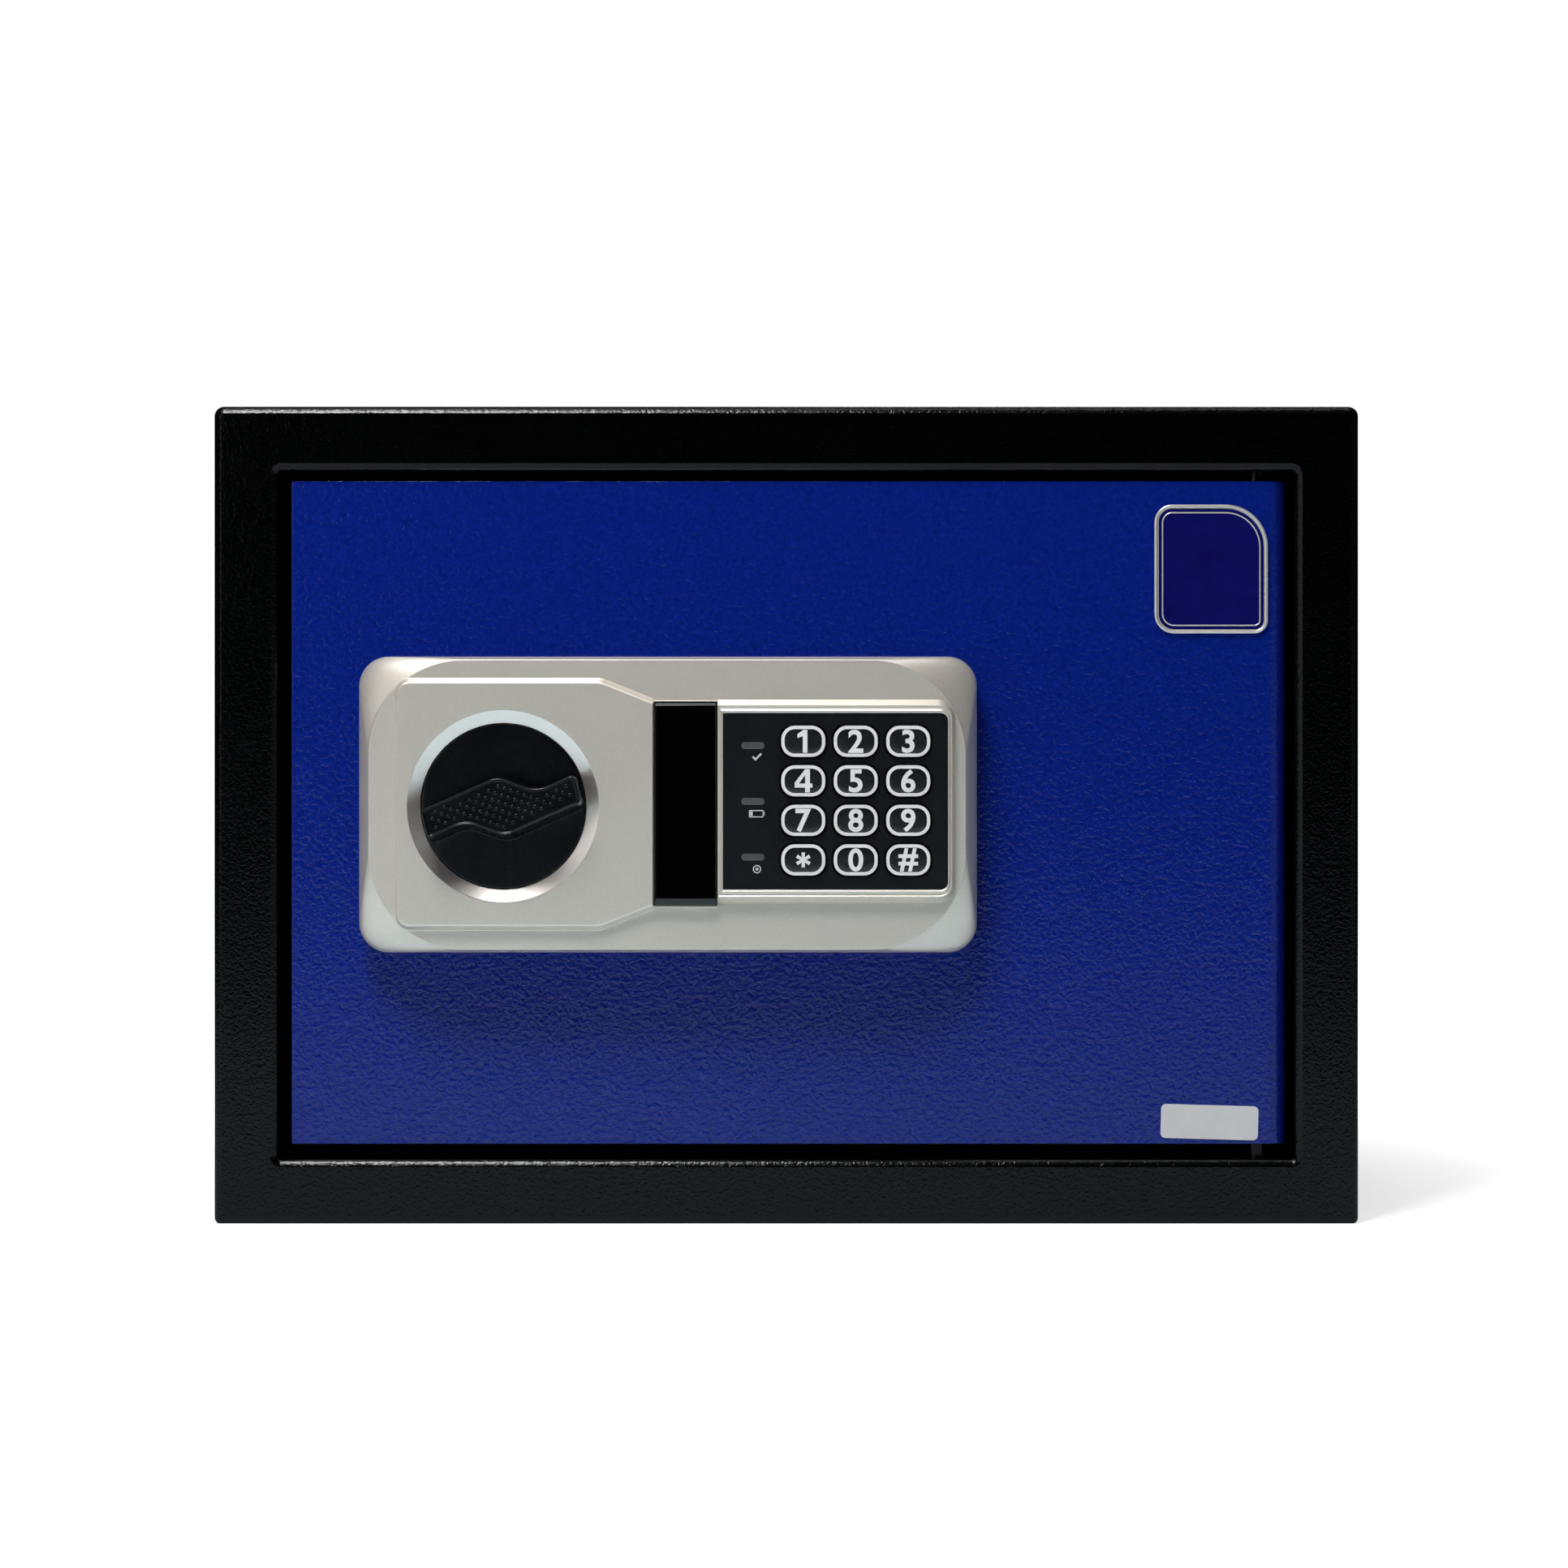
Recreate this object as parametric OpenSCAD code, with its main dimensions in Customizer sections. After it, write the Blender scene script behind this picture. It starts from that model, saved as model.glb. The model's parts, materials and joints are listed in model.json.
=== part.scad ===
// Small electronic safe: sheet-steel box, recessed door, knob, keypad and emergency lock.
// X runs to the right, Y to the back and Z up. The origin is the middle of the base.

/* [Box] */
// Outer width of the box
body_w = 350; // [345:1:400]
// Outer height of the box
body_h = 250; // [245:1:300]
// Outer depth of the box
body_d = 250; // [220:1:360]
// Sheet thickness of the wrap, the back and the front frame
sheet_t = 1.5; // [1:0.1:2]
// Outside radius of the folded edges of the wrap
edge_r = 3; // [2.5:0.5:5]
// Width of the frame beside the opening
side_border = 19.5; // [17:0.5:24]
// Width of the frame above and below the opening
top_border = 19.75; // [17:0.25:24]
// Depth of the lip that runs back from the opening
lip_d = 16; // [15:0.5:20]
// Thickness of the felt mat on the floor
mat_t = 3; // [1:0.5:6]
// Gap between the mat and the walls
mat_gap = 1.5; // [0.5:0.5:5]
// Radius of the anchor holes
anchor_r = 5.5; // [4:0.5:8]
// Distance between the two base anchor holes
base_anchor_gap = 200; // [120:5:240]
// Distance between the two back anchor holes
back_anchor_gap = 150; // [80:5:240]
// Width of felt that is cut away round a base anchor hole
mat_hole_margin = 7.5; // [3:0.5:15]

/* [Door] */
// Thickness of the door sheet
door_t = 3; // [2:0.5:3.5]
// How far the door face lies behind the frame
door_recess = 3; // [1:0.5:4]
// Gap between the door and the lip on the hinge side
hinge_gap = 2; // [1.5:0.25:4]
// Gap between the door and the lip on the bolt side
latch_gap = 4; // [2:0.5:5]
// Gap above the door
over_gap = 3; // [2:0.5:5]
// Gap below the door
under_gap = 4.5; // [2:0.5:6]
// Outside radius of the door's bent hinge edge
bend_r = 4; // [4:0.25:5]
// Depth of the flange that the bent edge turns back into
flange_d = 17; // [12:0.5:20]
// Distance from the hinge edge of the door to the pin axis
pivot_in = 8.5; // [8:0.25:10]
// Distance from the door face to the pin axis
pivot_back = 7.5; // [7:0.25:8]
// Radius of the hinge pins
pin_r = 3; // [2:0.25:3.25]
// Width of the block that carries a pin
block_w = 9; // [8.5:0.25:9]
// Depth of the block that carries a pin
block_d = 10; // [9:0.5:12]
// Height of the block that carries a pin
block_h = 28; // [15:1:40]
// Height of the lug that a pin turns in
lug_h = 8; // [5:0.5:11]
// Width of the lug that a pin turns in
lug_w = 16; // [12:1:20]
// Radial clearance of parts that turn or slide in a hole
run_clear = 0.05; // [0.03:0.01:0.1]
// Clearance of parts that stay put in a hole
fix_clear = 0.05; // [0.02:0.01:0.2]
// Clearance that moving neighbours keep
move_clear = 0.3; // [0.2:0.05:0.5]

/* [Lock panel] */
// Width of the lock panel
panel_w = 188; // [184:1:200]
// Height of the lock panel
panel_h = 90; // [84:1:110]
// Depth of the lock panel up to its flat face
panel_d = 16; // [14:0.5:22]
// Wall thickness of the moulding
panel_t = 2.5; // [1.5:0.25:3]
// Corner radius of the panel's foot
panel_r = 9; // [6:0.5:12]
// Corner radius of the flat face
face_r = 29; // [20:1:34]
// How far the flat face is drawn in at the ends
face_in = 2.4; // [1:0.2:4]
// Depth of the straight side wall
foot_d = 7; // [4:0.5:8]
// Distance from the bolt edge of the door to the panel
panel_from_edge = 21.5; // [16:0.5:26]
// Height of the panel's middle above the middle of the box
panel_rise = 3.25; // [-10:0.25:20]
// Height of the raised pad
pad_h = 2.5; // [1.5:0.25:4]
// Width of the pad round the knob
pad_w = 78; // [72:0.5:84]
// Height of the pad round the knob
pad_tall = 76; // [66:0.5:80]
// Length of the pad's tapered corners
taper_len = 16; // [10:0.5:20]
// Drop of the pad's tapered corners
taper_drop = 6.3; // [3:0.1:8]
// Distance from the end of the panel to the pad
pad_from_end = 12; // [8:0.5:16]

/* [Knob and bolt work] */
// Radius of the turning knob
knob_r = 24.8; // [22:0.1:26]
// Width of the funnel round the knob
funnel_w = 3.8; // [2:0.1:5]
// Depth of the funnel round the knob
funnel_d = 2.5; // [1.5:0.1:3.5]
// Depth of the well that the knob turns in
well_d = 6; // [5:0.5:8]
// Distance from the end of the pad to the knob axis
knob_from_pad = 32.6; // [30:0.1:36]
// Depth of the knob face below the pad
knob_sink = 1.7; // [0.5:0.1:3]
// Height of the grip above the pad
grip_h = 9; // [6:0.5:14]
// Half width of the S-shaped grip
grip_half = 8.75; // [7:0.25:11]
// Angle of the grip as drawn
grip_turn = 24; // [0:1:45]
// Radius of the knob spindle
spindle_r = 4; // [3:0.25:5]
// Length of the crank, from spindle to pin
crank_r = 12; // [9:0.5:13]
// Half of the angle that the knob turns through
half_turn = 40; // [30:1:45]
// Radius of the crank pin
crank_pin_r = 2.5; // [2:0.25:3]
// Radius of the locking bolts
bolt_r = 8; // [6:0.5:9]
// Height of each bolt above or below the knob axis
bolt_rise = 55; // [45:1:62]
// Gap between the lip and a thrown bolt
bolt_gap = 1.5; // [0.5:0.25:3]
// Distance from the door's edge to a drawn bolt
bolt_inset = 3.5; // [2:0.5:8]
// Radius of the bolt's riveted neck
neck_r = 4; // [3:0.25:5]
// Thickness of the bolt bracket and carriage
plate_t = 2; // [1.5:0.25:3]
// Distance between the two walls of the bolt bracket
bracket_gap = 24; // [18:1:26]
// Radius of the studs that guide the carriage
guide_r = 3; // [2.5:0.25:4]

/* [Solenoid and emergency lock] */
// Width of the key cover strip
strip_w = 19.3; // [19:0.1:24]
// Height of the key cover strip
strip_h = 61.8; // [50:0.2:66]
// Thickness of the key cover strip
strip_t = 2.2; // [1.5:0.1:3]
// Depth of the pocket under the key cover
pocket_d = 6.5; // [5.5:0.5:8]
// Radius of the emergency lock
lock_r = 8.5; // [7:0.25:9]
// Radius of the lock's turning plug
plug_r = 4.5; // [3.5:0.25:6]
// Width of the lock's cam
cam_w = 7; // [5:0.5:8]
// Radius of the solenoid plunger
plunger_r = 3; // [2:0.25:3.5]
// Travel of the solenoid plunger
plunger_travel = 5; // [3:0.5:6]
// Radius of the solenoid coil
coil_r = 9; // [7:0.5:11]
// Height of the solenoid coil
coil_h = 22; // [16:1:26]
// Wire diameter of the plunger spring
spring_wire = 0.7; // [0.4:0.1:1]
// Turns of the plunger spring
spring_turns = 5; // [3:1:7]

/* [Keypad] */
// Width of the black keypad plate
pad_plate_w = 68.3; // [66:0.1:72]
// Height of the black keypad plate
pad_plate_h = 53.2; // [52:0.1:58]
// Thickness of the black keypad plate
pad_plate_t = 1.8; // [1.2:0.1:2.5]
// Width of the silver rim round the plate
bezel_rim = 1.7; // [1:0.1:2.5]
// Width of a key
key_w = 13.9; // [12:0.1:14.2]
// Height of a key
key_h = 10; // [8:0.1:10.3]
// Corner radius of a key
key_r = 4.4; // [2:0.1:4.8]
// Distance between key columns
key_pitch_x = 15.8; // [15.6:0.1:16.2]
// Distance between key rows
key_pitch_z = 11.9; // [11.7:0.1:12.2]
// How far a key stands proud of the plate
key_proud = 1.3; // [1.1:0.1:2]
// Travel of a key
key_travel = 1; // [0.5:0.1:1]
// Width of a lamp window
led_w = 7; // [5:0.1:8]
// Height of a lamp window
led_h = 2.1; // [1.5:0.1:3]
// Distance between the lamp windows
led_pitch = 16.8; // [14:0.1:18]

/* [Inside of the door] */
// Sheet thickness of the inner cover
cover_t = 1; // [0.8:0.1:1.5]
// Gap between the bolts and the inner cover
cover_gap = 4.5; // [3:0.5:10]
// Distance from the bolt edge of the door to the inner cover
cover_inset = 9.5; // [8:0.5:10]
// Distance from the top and bottom of the door to the inner cover
cover_margin = 12; // [10:0.5:16]
// Width of the inner cover's screw flanges
cover_flange = 9; // [8:0.5:9.5]
// Radius of a round battery
cell_r = 7.25; // [7:0.05:7.5]
// Length of a round battery
cell_len = 50.5; // [49:0.5:52]
// Wall thickness of the battery tray
tray_t = 1.6; // [1:0.1:2]
// Width of the circuit board
board_w = 90; // [80:1:92]
// Height of the circuit board
board_h = 60; // [50:1:62]
// Thickness of both circuit boards
board_t = 1.6; // [1:0.1:2]
// Distance of the circuit board from the door
standoff_h = 8; // [6:0.5:10]
// Travel of the reset button
reset_travel = 1; // [0.5:0.1:1.2]

/* [Badge and label] */
// Width of the plain badge
badge_w = 34.8; // [30:0.2:38]
// Height of the plain badge
badge_h = 39.5; // [34:0.5:44]
// Thickness of the plain badge
badge_t = 1; // [0.6:0.1:1.4]
// Width of the blank label
label_w = 29.8; // [26:0.2:34]
// Height of the blank label
label_h = 10.4; // [8:0.2:12]
// Thickness of the blank label
label_t = 0.2; // [0.1:0.05:0.4]
// Tilt of the blank label
label_tilt = 1.6; // [0:0.1:3]

/* [Hidden] */
$fn = 64;
eps = 0.01;

// Levels from front to back
frame_y = -body_d / 2;
back_y = body_d / 2;
door_y = frame_y + door_recess;
door_b = door_y + door_t;
bolt_y = frame_y + lip_d + bolt_gap + bolt_r;
cover_y = bolt_y + bolt_r + cover_gap;
cover_b = cover_y + cover_t;
neck_wall = 0.5;
carriage_y = bolt_y - neck_r - neck_wall;
carriage_b = carriage_y + plate_t;
plunger_y = carriage_y + plate_t / 2;
crank_gap = 4.5;
crank_t = 3;
crank_b = carriage_y - crank_gap;
cam_gap = 1.2;
cam_t = 2;
cam_b = carriage_y - cam_gap;
cylinder_b = cam_b - cam_t - move_clear;

// Levels of the lock panel, which stands in front of the door
face_y = door_y - panel_d;
pad_y = face_y - pad_h;
hollow_y = face_y + panel_t;
well_y = pad_y + well_d;
pocket_y = pad_y + pocket_d;
bezel_h = 0.8;
plate_sink = 0.6;
bezel_y = pad_y - bezel_h;
plate_y = bezel_y + plate_sink;
plate_b = plate_y + pad_plate_t;
key_y = plate_y - key_proud;
key_lip_gap = 0.2;
key_lip_t = 0.8;
key_stem = 0.6;
key_b = plate_b + key_lip_gap + key_lip_t + key_stem;
dome_y = key_b + key_travel + move_clear;
mat_y = hollow_y + key_lip_gap;
mat_sheet = 1.6;
keys_board_y = mat_y + mat_sheet + key_lip_gap;

// Places across the front
mid_z = body_h / 2;
open_w = body_w - 2 * side_border;
open_h = body_h - 2 * top_border;
open_r = 2;
door_x0 = -open_w / 2 + latch_gap;
door_x1 = open_w / 2 - hinge_gap;
door_z0 = mid_z - open_h / 2 + under_gap;
door_z1 = mid_z + open_h / 2 - over_gap;
pivot_x = door_x1 - pivot_in;
pivot_y = door_y + pivot_back;
panel_x = door_x0 + panel_from_edge + panel_w / 2;
panel_z = mid_z + panel_rise;
pad_x0 = panel_x - panel_w / 2 + pad_from_end;
pad_x1 = pad_x0 + pad_w;
knob_x = pad_x0 + knob_from_pad;
knob_drop = 0.5;
knob_z = panel_z - knob_drop;
well_r = knob_r + move_clear;
strip_x = pad_x1 + strip_w / 2;
strip_rise = 0.25;
strip_z = panel_z + strip_rise;
lock_x = strip_x;
lock_z = panel_z + strip_rise;
bezel_x0 = pad_x1 + strip_w;
bezel_w = pad_plate_w + 2 * bezel_rim;
bezel_tall = pad_plate_h + 2 * bezel_rim + 4.9;
plate_x = bezel_x0 + bezel_rim + pad_plate_w / 2;
plate_rise = 1;
plate_z = panel_z + plate_rise;
key_x0 = plate_x + 5.75;
key_z0 = plate_z + 0.25;
led_x = plate_x - 25.2;
led_z = plate_z;

// Bolt work
throw = 2 * crank_r * sin(half_turn);
pin_x = knob_x + crank_r * sin(half_turn);
pin_z = knob_z + crank_r * cos(half_turn);
pin_play = 0.4;
bolt_x0 = door_x0 + bolt_inset;
bracket_x0 = door_x0 + cover_inset + 3;
bracket_x1 = bracket_x0 + 2 * plate_t + bracket_gap;
carriage_x0 = bracket_x1 + throw + 0.6;
carriage_w = 31;
carriage_x1 = carriage_x0 + carriage_w;
carriage_half = bolt_rise + bolt_r;
guide_x = carriage_x0 + guide_r + 4;
guide_rise = 36;
guide_head = 5;
tab_half = bolt_r + 1;
bracket_half = bolt_rise + bolt_r + 5;
bracket_stud_rise = 30;
stud_r = 2;
nut_af = 7;
nut_t = 3;

// Solenoid beside the carriage
coil_x = carriage_x1 + 3 + coil_r + 3;
cam_len = lock_x - coil_x - plunger_r - 2 * move_clear;
collar_t = 2;
collar_z = lock_z + cam_w / 2 + move_clear;
tail_top = collar_z - 14.3;
tail_h = 14;
tip_z = tail_top + 0.5;
coil_frame_t = 2;
coil_frame_z = collar_z + collar_t + plunger_travel + 2.7;
coil_z = coil_frame_z + coil_frame_t;
coil_half = coil_r + 3;
core_h = 4;
notch_depth = plunger_travel + 0.5;
spring_r = plunger_r + 0.5 + spring_wire / 2;

// Inside of the door
cover_x0 = door_x0 + cover_inset;
cover_x1 = pivot_x - block_w / 2 - 6.5;
cover_z0 = door_z0 + cover_margin;
cover_z1 = door_z1 - cover_margin;
cell_pitch = 2 * cell_r + 0.3;
contact_t = 0.5;
contact_w = 10;
contact_spring_r = 4;
spring_len = 2.6;
tray_in_w = 4 * cell_pitch + 0.6;
tray_in_h = cell_len + 2 * contact_t + spring_len + 0.2;
tray_w = tray_in_w + 2 * tray_t;
tray_h = tray_in_h + 2 * tray_t;
tray_x = cover_x1 - tray_w / 2 - 7;
tray_z = cover_z0 + tray_h / 2 + 24;
cell_y = cover_y - cell_r - 2.5;
tray_y = cell_y - cell_r - 0.3 - tray_t;
lid_t = 1.6;
lid_over = 2.5;
board_gap = 29;
board_x0 = coil_x + coil_half + board_gap;
board_x = board_x0 + board_w / 2;
board_z = cover_z1 - board_h / 2 - 9;
board_z0 = board_z - board_h / 2;
board_y = door_b + standoff_h;
board_b = board_y + board_t;
board_pin_r = 1.5;
board_pin_in = 4;
standoff_r = 2.8;
chip_h = 2.5;
plug_h = 8;
can_r = 5;
can_h = 11;
buzzer_r = 6;
buzzer_h = 7;
keypad_plug = [board_x0 + 0.18 * board_w, board_z0 + 0.13 * board_h];
battery_plug = [board_x0 + 0.74 * board_w, board_z0 + 0.07 * board_h];
solenoid_plug = [board_x0 + 0.03 * board_w, board_z0 + 0.6 * board_h];
grommet_r = 7;
grommet_x = plate_x;
grommet_z = panel_z - 10;
reset_x = board_x + board_w / 2 - 12;
reset_z = board_z + board_h / 2 - 8;
reset_r = 2.5;
switch_b = cover_y - 14;
button_proud = 1.5;

// Fixings
screw_r = 2;
screw_head_r = 3.6;
screw_head_h = 2.5;
boss_r = 4;
boss_from_end = 26;
boss_from_edge = 12;
screw_bite = 10;
cover_screw_r = 1.5;
cover_bite = 1.5;

key_names = ["key_1", "key_2", "key_3", "key_4", "key_5", "key_6", "key_7", "key_8", "key_9",
    "key_star", "key_0", "key_hash"];

// Rounded rectangle about the origin
module round_rect(w, h, r) {
    square([w - 2 * r, h], center = true);
    square([w, h - 2 * r], center = true);
    for (sx = [-1, 1], sz = [-1, 1])
        translate([sx * (w / 2 - r), sz * (h / 2 - r)]) circle(r);
}

// Rounded rectangle about a point of the front
module round_rect_at(x, z, w, h, r) {
    translate([x, z]) round_rect(w, h, r);
}

// Straight slot with round ends along X
module slot2d(x0, x1, z, r) {
    translate([x0, z - r]) square([x1 - x0, 2 * r]);
    for (x = [x0, x1]) translate([x, z]) circle(r);
}

// Stands a flat shape of the front between two levels
module between(y0, y1) {
    translate([0, y1, 0]) rotate([90, 0, 0]) linear_extrude(y1 - y0) children();
}

module rod_x(y, z, r, x0, x1) {
    translate([x0, y, z]) rotate([0, 90, 0]) cylinder(r = r, h = x1 - x0);
}

module rod_y(x, z, r, y0, y1) {
    translate([x, y1, z]) rotate([90, 0, 0]) cylinder(r = r, h = y1 - y0);
}

module rod_z(x, y, r, z0, z1) {
    translate([x, y, z0]) cylinder(r = r, h = z1 - z0);
}

// Box between two corners
module box(a, b) {
    translate(a) cube(b - a);
}

// Closed tube along points, for the wires and the spring
function unit(v) = v / norm(v);
function heading(p, i) = unit(p[min(i + 1, len(p) - 1)] - p[max(i - 1, 0)]);
function ring_at(p, i, r, sides, up) =
    let (t = heading(p, i), u = unit(cross(t, up)), v = cross(t, u))
    [for (k = [0:sides - 1]) p[i] + r * (cos(360 * k / sides) * u + sin(360 * k / sides) * v)];
function tube_points(p, r, sides, up) =
    [for (i = [0:len(p) - 1], q = ring_at(p, i, r, sides, up)) q];
function tube_sides(n, sides) =
    [for (i = [0:n - 2], k = [0:sides - 1], half = [0, 1])
        let (a = i * sides + k, b = i * sides + (k + 1) % sides)
        half == 0 ? [a, b, b + sides] : [a, b + sides, a + sides]];
module tube(p, r, sides, up) {
    n = len(p);
    polyhedron(tube_points(p, r, sides, up),
        concat(tube_sides(n, sides), [[for (k = [sides - 1:-1:0]) k]],
            [[for (k = [0:sides - 1]) (n - 1) * sides + k]]));
}
function bend(a, b, c, d, t) = 0.5 * (2 * b + (c - a) * t + (2 * a - 5 * b + 4 * c - d) * t * t
    + (3 * b - a - 3 * c + d) * t * t * t);
function smooth(p, n) = concat([for (i = [0:len(p) - 2], s = [0:n - 1])
    bend(p[max(i - 1, 0)], p[i], p[i + 1], p[min(i + 2, len(p) - 1)], s / n)], [p[len(p) - 1]]);

// The two base anchor holes and the two back anchor holes
module base_anchors(r, z0, z1) {
    for (s = [-1, 1]) rod_z(s * base_anchor_gap / 2, 0, r, z0, z1);
}

module back_anchors(r, y0, y1) {
    for (s = [-1, 1]) rod_y(s * back_anchor_gap / 2, mid_z, r, y0, y1);
}

// One side of the hinge: 1 is the top, -1 the bottom
module at_hinge(side) {
    edge_z = side > 0 ? mid_z + open_h / 2 : mid_z - open_h / 2;
    translate([pivot_x, pivot_y, edge_z]) mirror([0, 0, side > 0 ? 0 : 1]) children();
}

module body_wrap() {
    color([0.03, 0.03, 0.03]) difference() {
        between(frame_y + sheet_t, back_y - sheet_t) difference() {
            round_rect_at(0, mid_z, body_w, body_h, edge_r);
            round_rect_at(0, mid_z, body_w - 2 * sheet_t, body_h - 2 * sheet_t,
                edge_r - sheet_t);
        }
        base_anchors(anchor_r, -eps, sheet_t + eps);
    }
}

module back_panel() {
    color([0.04, 0.04, 0.04]) difference() {
        between(back_y - sheet_t, back_y) round_rect_at(0, mid_z, body_w, body_h, edge_r);
        back_anchors(anchor_r, back_y - sheet_t - eps, back_y + eps);
    }
}

module front_frame() {
    color([0.03, 0.03, 0.04]) difference() {
        union() {
            between(frame_y, frame_y + sheet_t)
                round_rect_at(0, mid_z, body_w, body_h, edge_r);
            between(frame_y, frame_y + lip_d)
                round_rect_at(0, mid_z, open_w + 2 * sheet_t, open_h + 2 * sheet_t,
                    open_r + sheet_t);
        }
        between(frame_y - eps, frame_y + lip_d + eps)
            round_rect_at(0, mid_z, open_w, open_h, open_r);
        for (side = [-1, 1]) at_hinge(side)
            translate([0, 0, -open_r]) cylinder(r = pin_r + move_clear, h = sheet_t + 2 * open_r);
    }
}

module hinge_lugs() {
    color([0.25, 0.25, 0.26]) for (side = [-1, 1]) at_hinge(side) difference() {
        translate([-lug_w / 2, -pivot_back + sheet_t, sheet_t])
            cube([lug_w, lip_d - door_recess - sheet_t, lug_h]);
        cylinder(r = pin_r + run_clear, h = sheet_t + lug_h + eps);
    }
}

module floor_mat() {
    mat_w = body_w - 2 * sheet_t - 2 * mat_gap;
    color([0.12, 0.12, 0.13]) difference() {
        box([-mat_w / 2, frame_y + lip_d, sheet_t],
            [mat_w / 2, back_y - sheet_t - mat_gap, sheet_t + mat_t]);
        base_anchors(anchor_r + mat_hole_margin, sheet_t - eps, sheet_t + mat_t + eps);
    }
}

// Cross-section of the door sheet, seen from above, with its bent hinge edge
module door_section() {
    translate([door_x0, door_y]) square([door_x1 - bend_r - door_x0, door_t]);
    translate([door_x1 - door_t, door_y + bend_r]) square([door_t, flange_d - bend_r]);
    translate([door_x1 - bend_r, door_y + bend_r]) intersection() {
        difference() {
            circle(bend_r);
            circle(bend_r - door_t);
        }
        translate([0, -bend_r]) square(bend_r);
    }
}

module panel_screw_places() {
    for (sx = [-1, 1], sz = [-1, 1])
        translate([panel_x + sx * (panel_w / 2 - boss_from_end), 0,
            panel_z + sz * (panel_h / 2 - boss_from_edge)]) children();
}

module cover_screw_places() {
    for (x = [cover_x0 + 20, (cover_x0 + cover_x1) / 2, cover_x1 - 20],
        z = [cover_z0 - cover_flange / 2, cover_z1 + cover_flange / 2])
        translate([x, 0, z]) children();
}

module door_plate() {
    color([0.02, 0.08, 0.45]) difference() {
        translate([0, 0, door_z0]) linear_extrude(door_z1 - door_z0) door_section();
        rod_y(knob_x, knob_z, spindle_r + 2, door_y - eps, door_b + eps);
        rod_y(lock_x, lock_z, lock_r + move_clear, door_y - eps, door_b + eps);
        rod_y(grommet_x, grommet_z, grommet_r, door_y - eps, door_b + eps);
        panel_screw_places() rod_y(0, 0, screw_r + move_clear, door_y - eps, door_b + eps);
        cover_screw_places() rod_y(0, 0, cover_screw_r + fix_clear,
            door_b - cover_bite - move_clear, door_b + eps);
    }
}

module hinge_blocks() {
    color([0.3, 0.3, 0.31]) for (side = [-1, 1]) at_hinge(side) difference() {
        gap = side > 0 ? over_gap : under_gap;
        translate([-block_w / 2, door_t - pivot_back, -gap - block_h])
            cube([block_w, block_d, block_h]);
        translate([0, 0, -gap - block_h - eps])
            cylinder(r = pin_r + fix_clear, h = block_h + 2 * eps);
    }
}

module hinge_pins() {
    color([0.6, 0.6, 0.62]) for (side = [-1, 1]) at_hinge(side) {
        gap = side > 0 ? over_gap : under_gap;
        translate([0, 0, -gap - block_h]) cylinder(r = pin_r, h = gap + block_h + sheet_t + lug_h - 1);
    }
}

// Raised outline: the pad round the knob, the key strip and the keypad bezel
module pad_outline() {
    corner = 3;
    z0 = panel_z - pad_tall / 2 + plate_rise - 0.85;
    z1 = z0 + pad_tall;
    translate([pad_x0 + corner, z0]) square([pad_w - taper_len - corner, pad_tall]);
    translate([pad_x0, z0 + corner]) square([corner, pad_tall - 2 * corner]);
    for (z = [z0 + corner, z1 - corner]) translate([pad_x0 + corner, z]) circle(corner);
    polygon([[pad_x1 - taper_len - eps, z0], [pad_x1, z0 + taper_drop],
        [pad_x1, z1 - taper_drop], [pad_x1 - taper_len - eps, z1]]);
    translate([pad_x1 - eps, strip_z - strip_h / 2 - 0.3])
        square([strip_w + 2 * eps, strip_h + 0.6]);
}

module bezel_outline() {
    corner = 4.5;
    translate([bezel_x0, plate_z - bezel_tall / 2])
        square([bezel_w - corner, bezel_tall]);
    translate([bezel_x0, plate_z - bezel_tall / 2 + corner])
        square([bezel_w, bezel_tall - 2 * corner]);
    for (s = [-1, 1])
        translate([bezel_x0 + bezel_w - corner, plate_z + s * (bezel_tall / 2 - corner)])
            circle(corner);
}

module key_places() {
    for (i = [0:11])
        translate([key_x0 + (i % 3 - 1) * key_pitch_x, key_z0 + (1.5 - floor(i / 3)) * key_pitch_z])
            children();
}

module led_places() {
    for (s = [-1:1]) translate([led_x, led_z + s * led_pitch]) children();
}

module panel_shell() {
    difference() {
        hull() {
            between(door_y - foot_d, door_y)
                round_rect_at(panel_x, panel_z, panel_w, panel_h, panel_r, $fn = 48);
            between(face_y, face_y + eps) round_rect_at(panel_x, panel_z, panel_w - 2 * face_in,
                panel_h - face_in, face_r, $fn = 96);
        }
        between(door_y - foot_d, door_y + eps)
            round_rect_at(panel_x, panel_z, panel_w - 2 * panel_t, panel_h - 2 * panel_t,
                panel_r - panel_t);
        between(hollow_y, door_y) round_rect_at(panel_x, panel_z,
            panel_w - 2 * (face_in + panel_t + 1), panel_h - 2 * (panel_t + 1.5), face_r - panel_t);
    }
}

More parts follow.
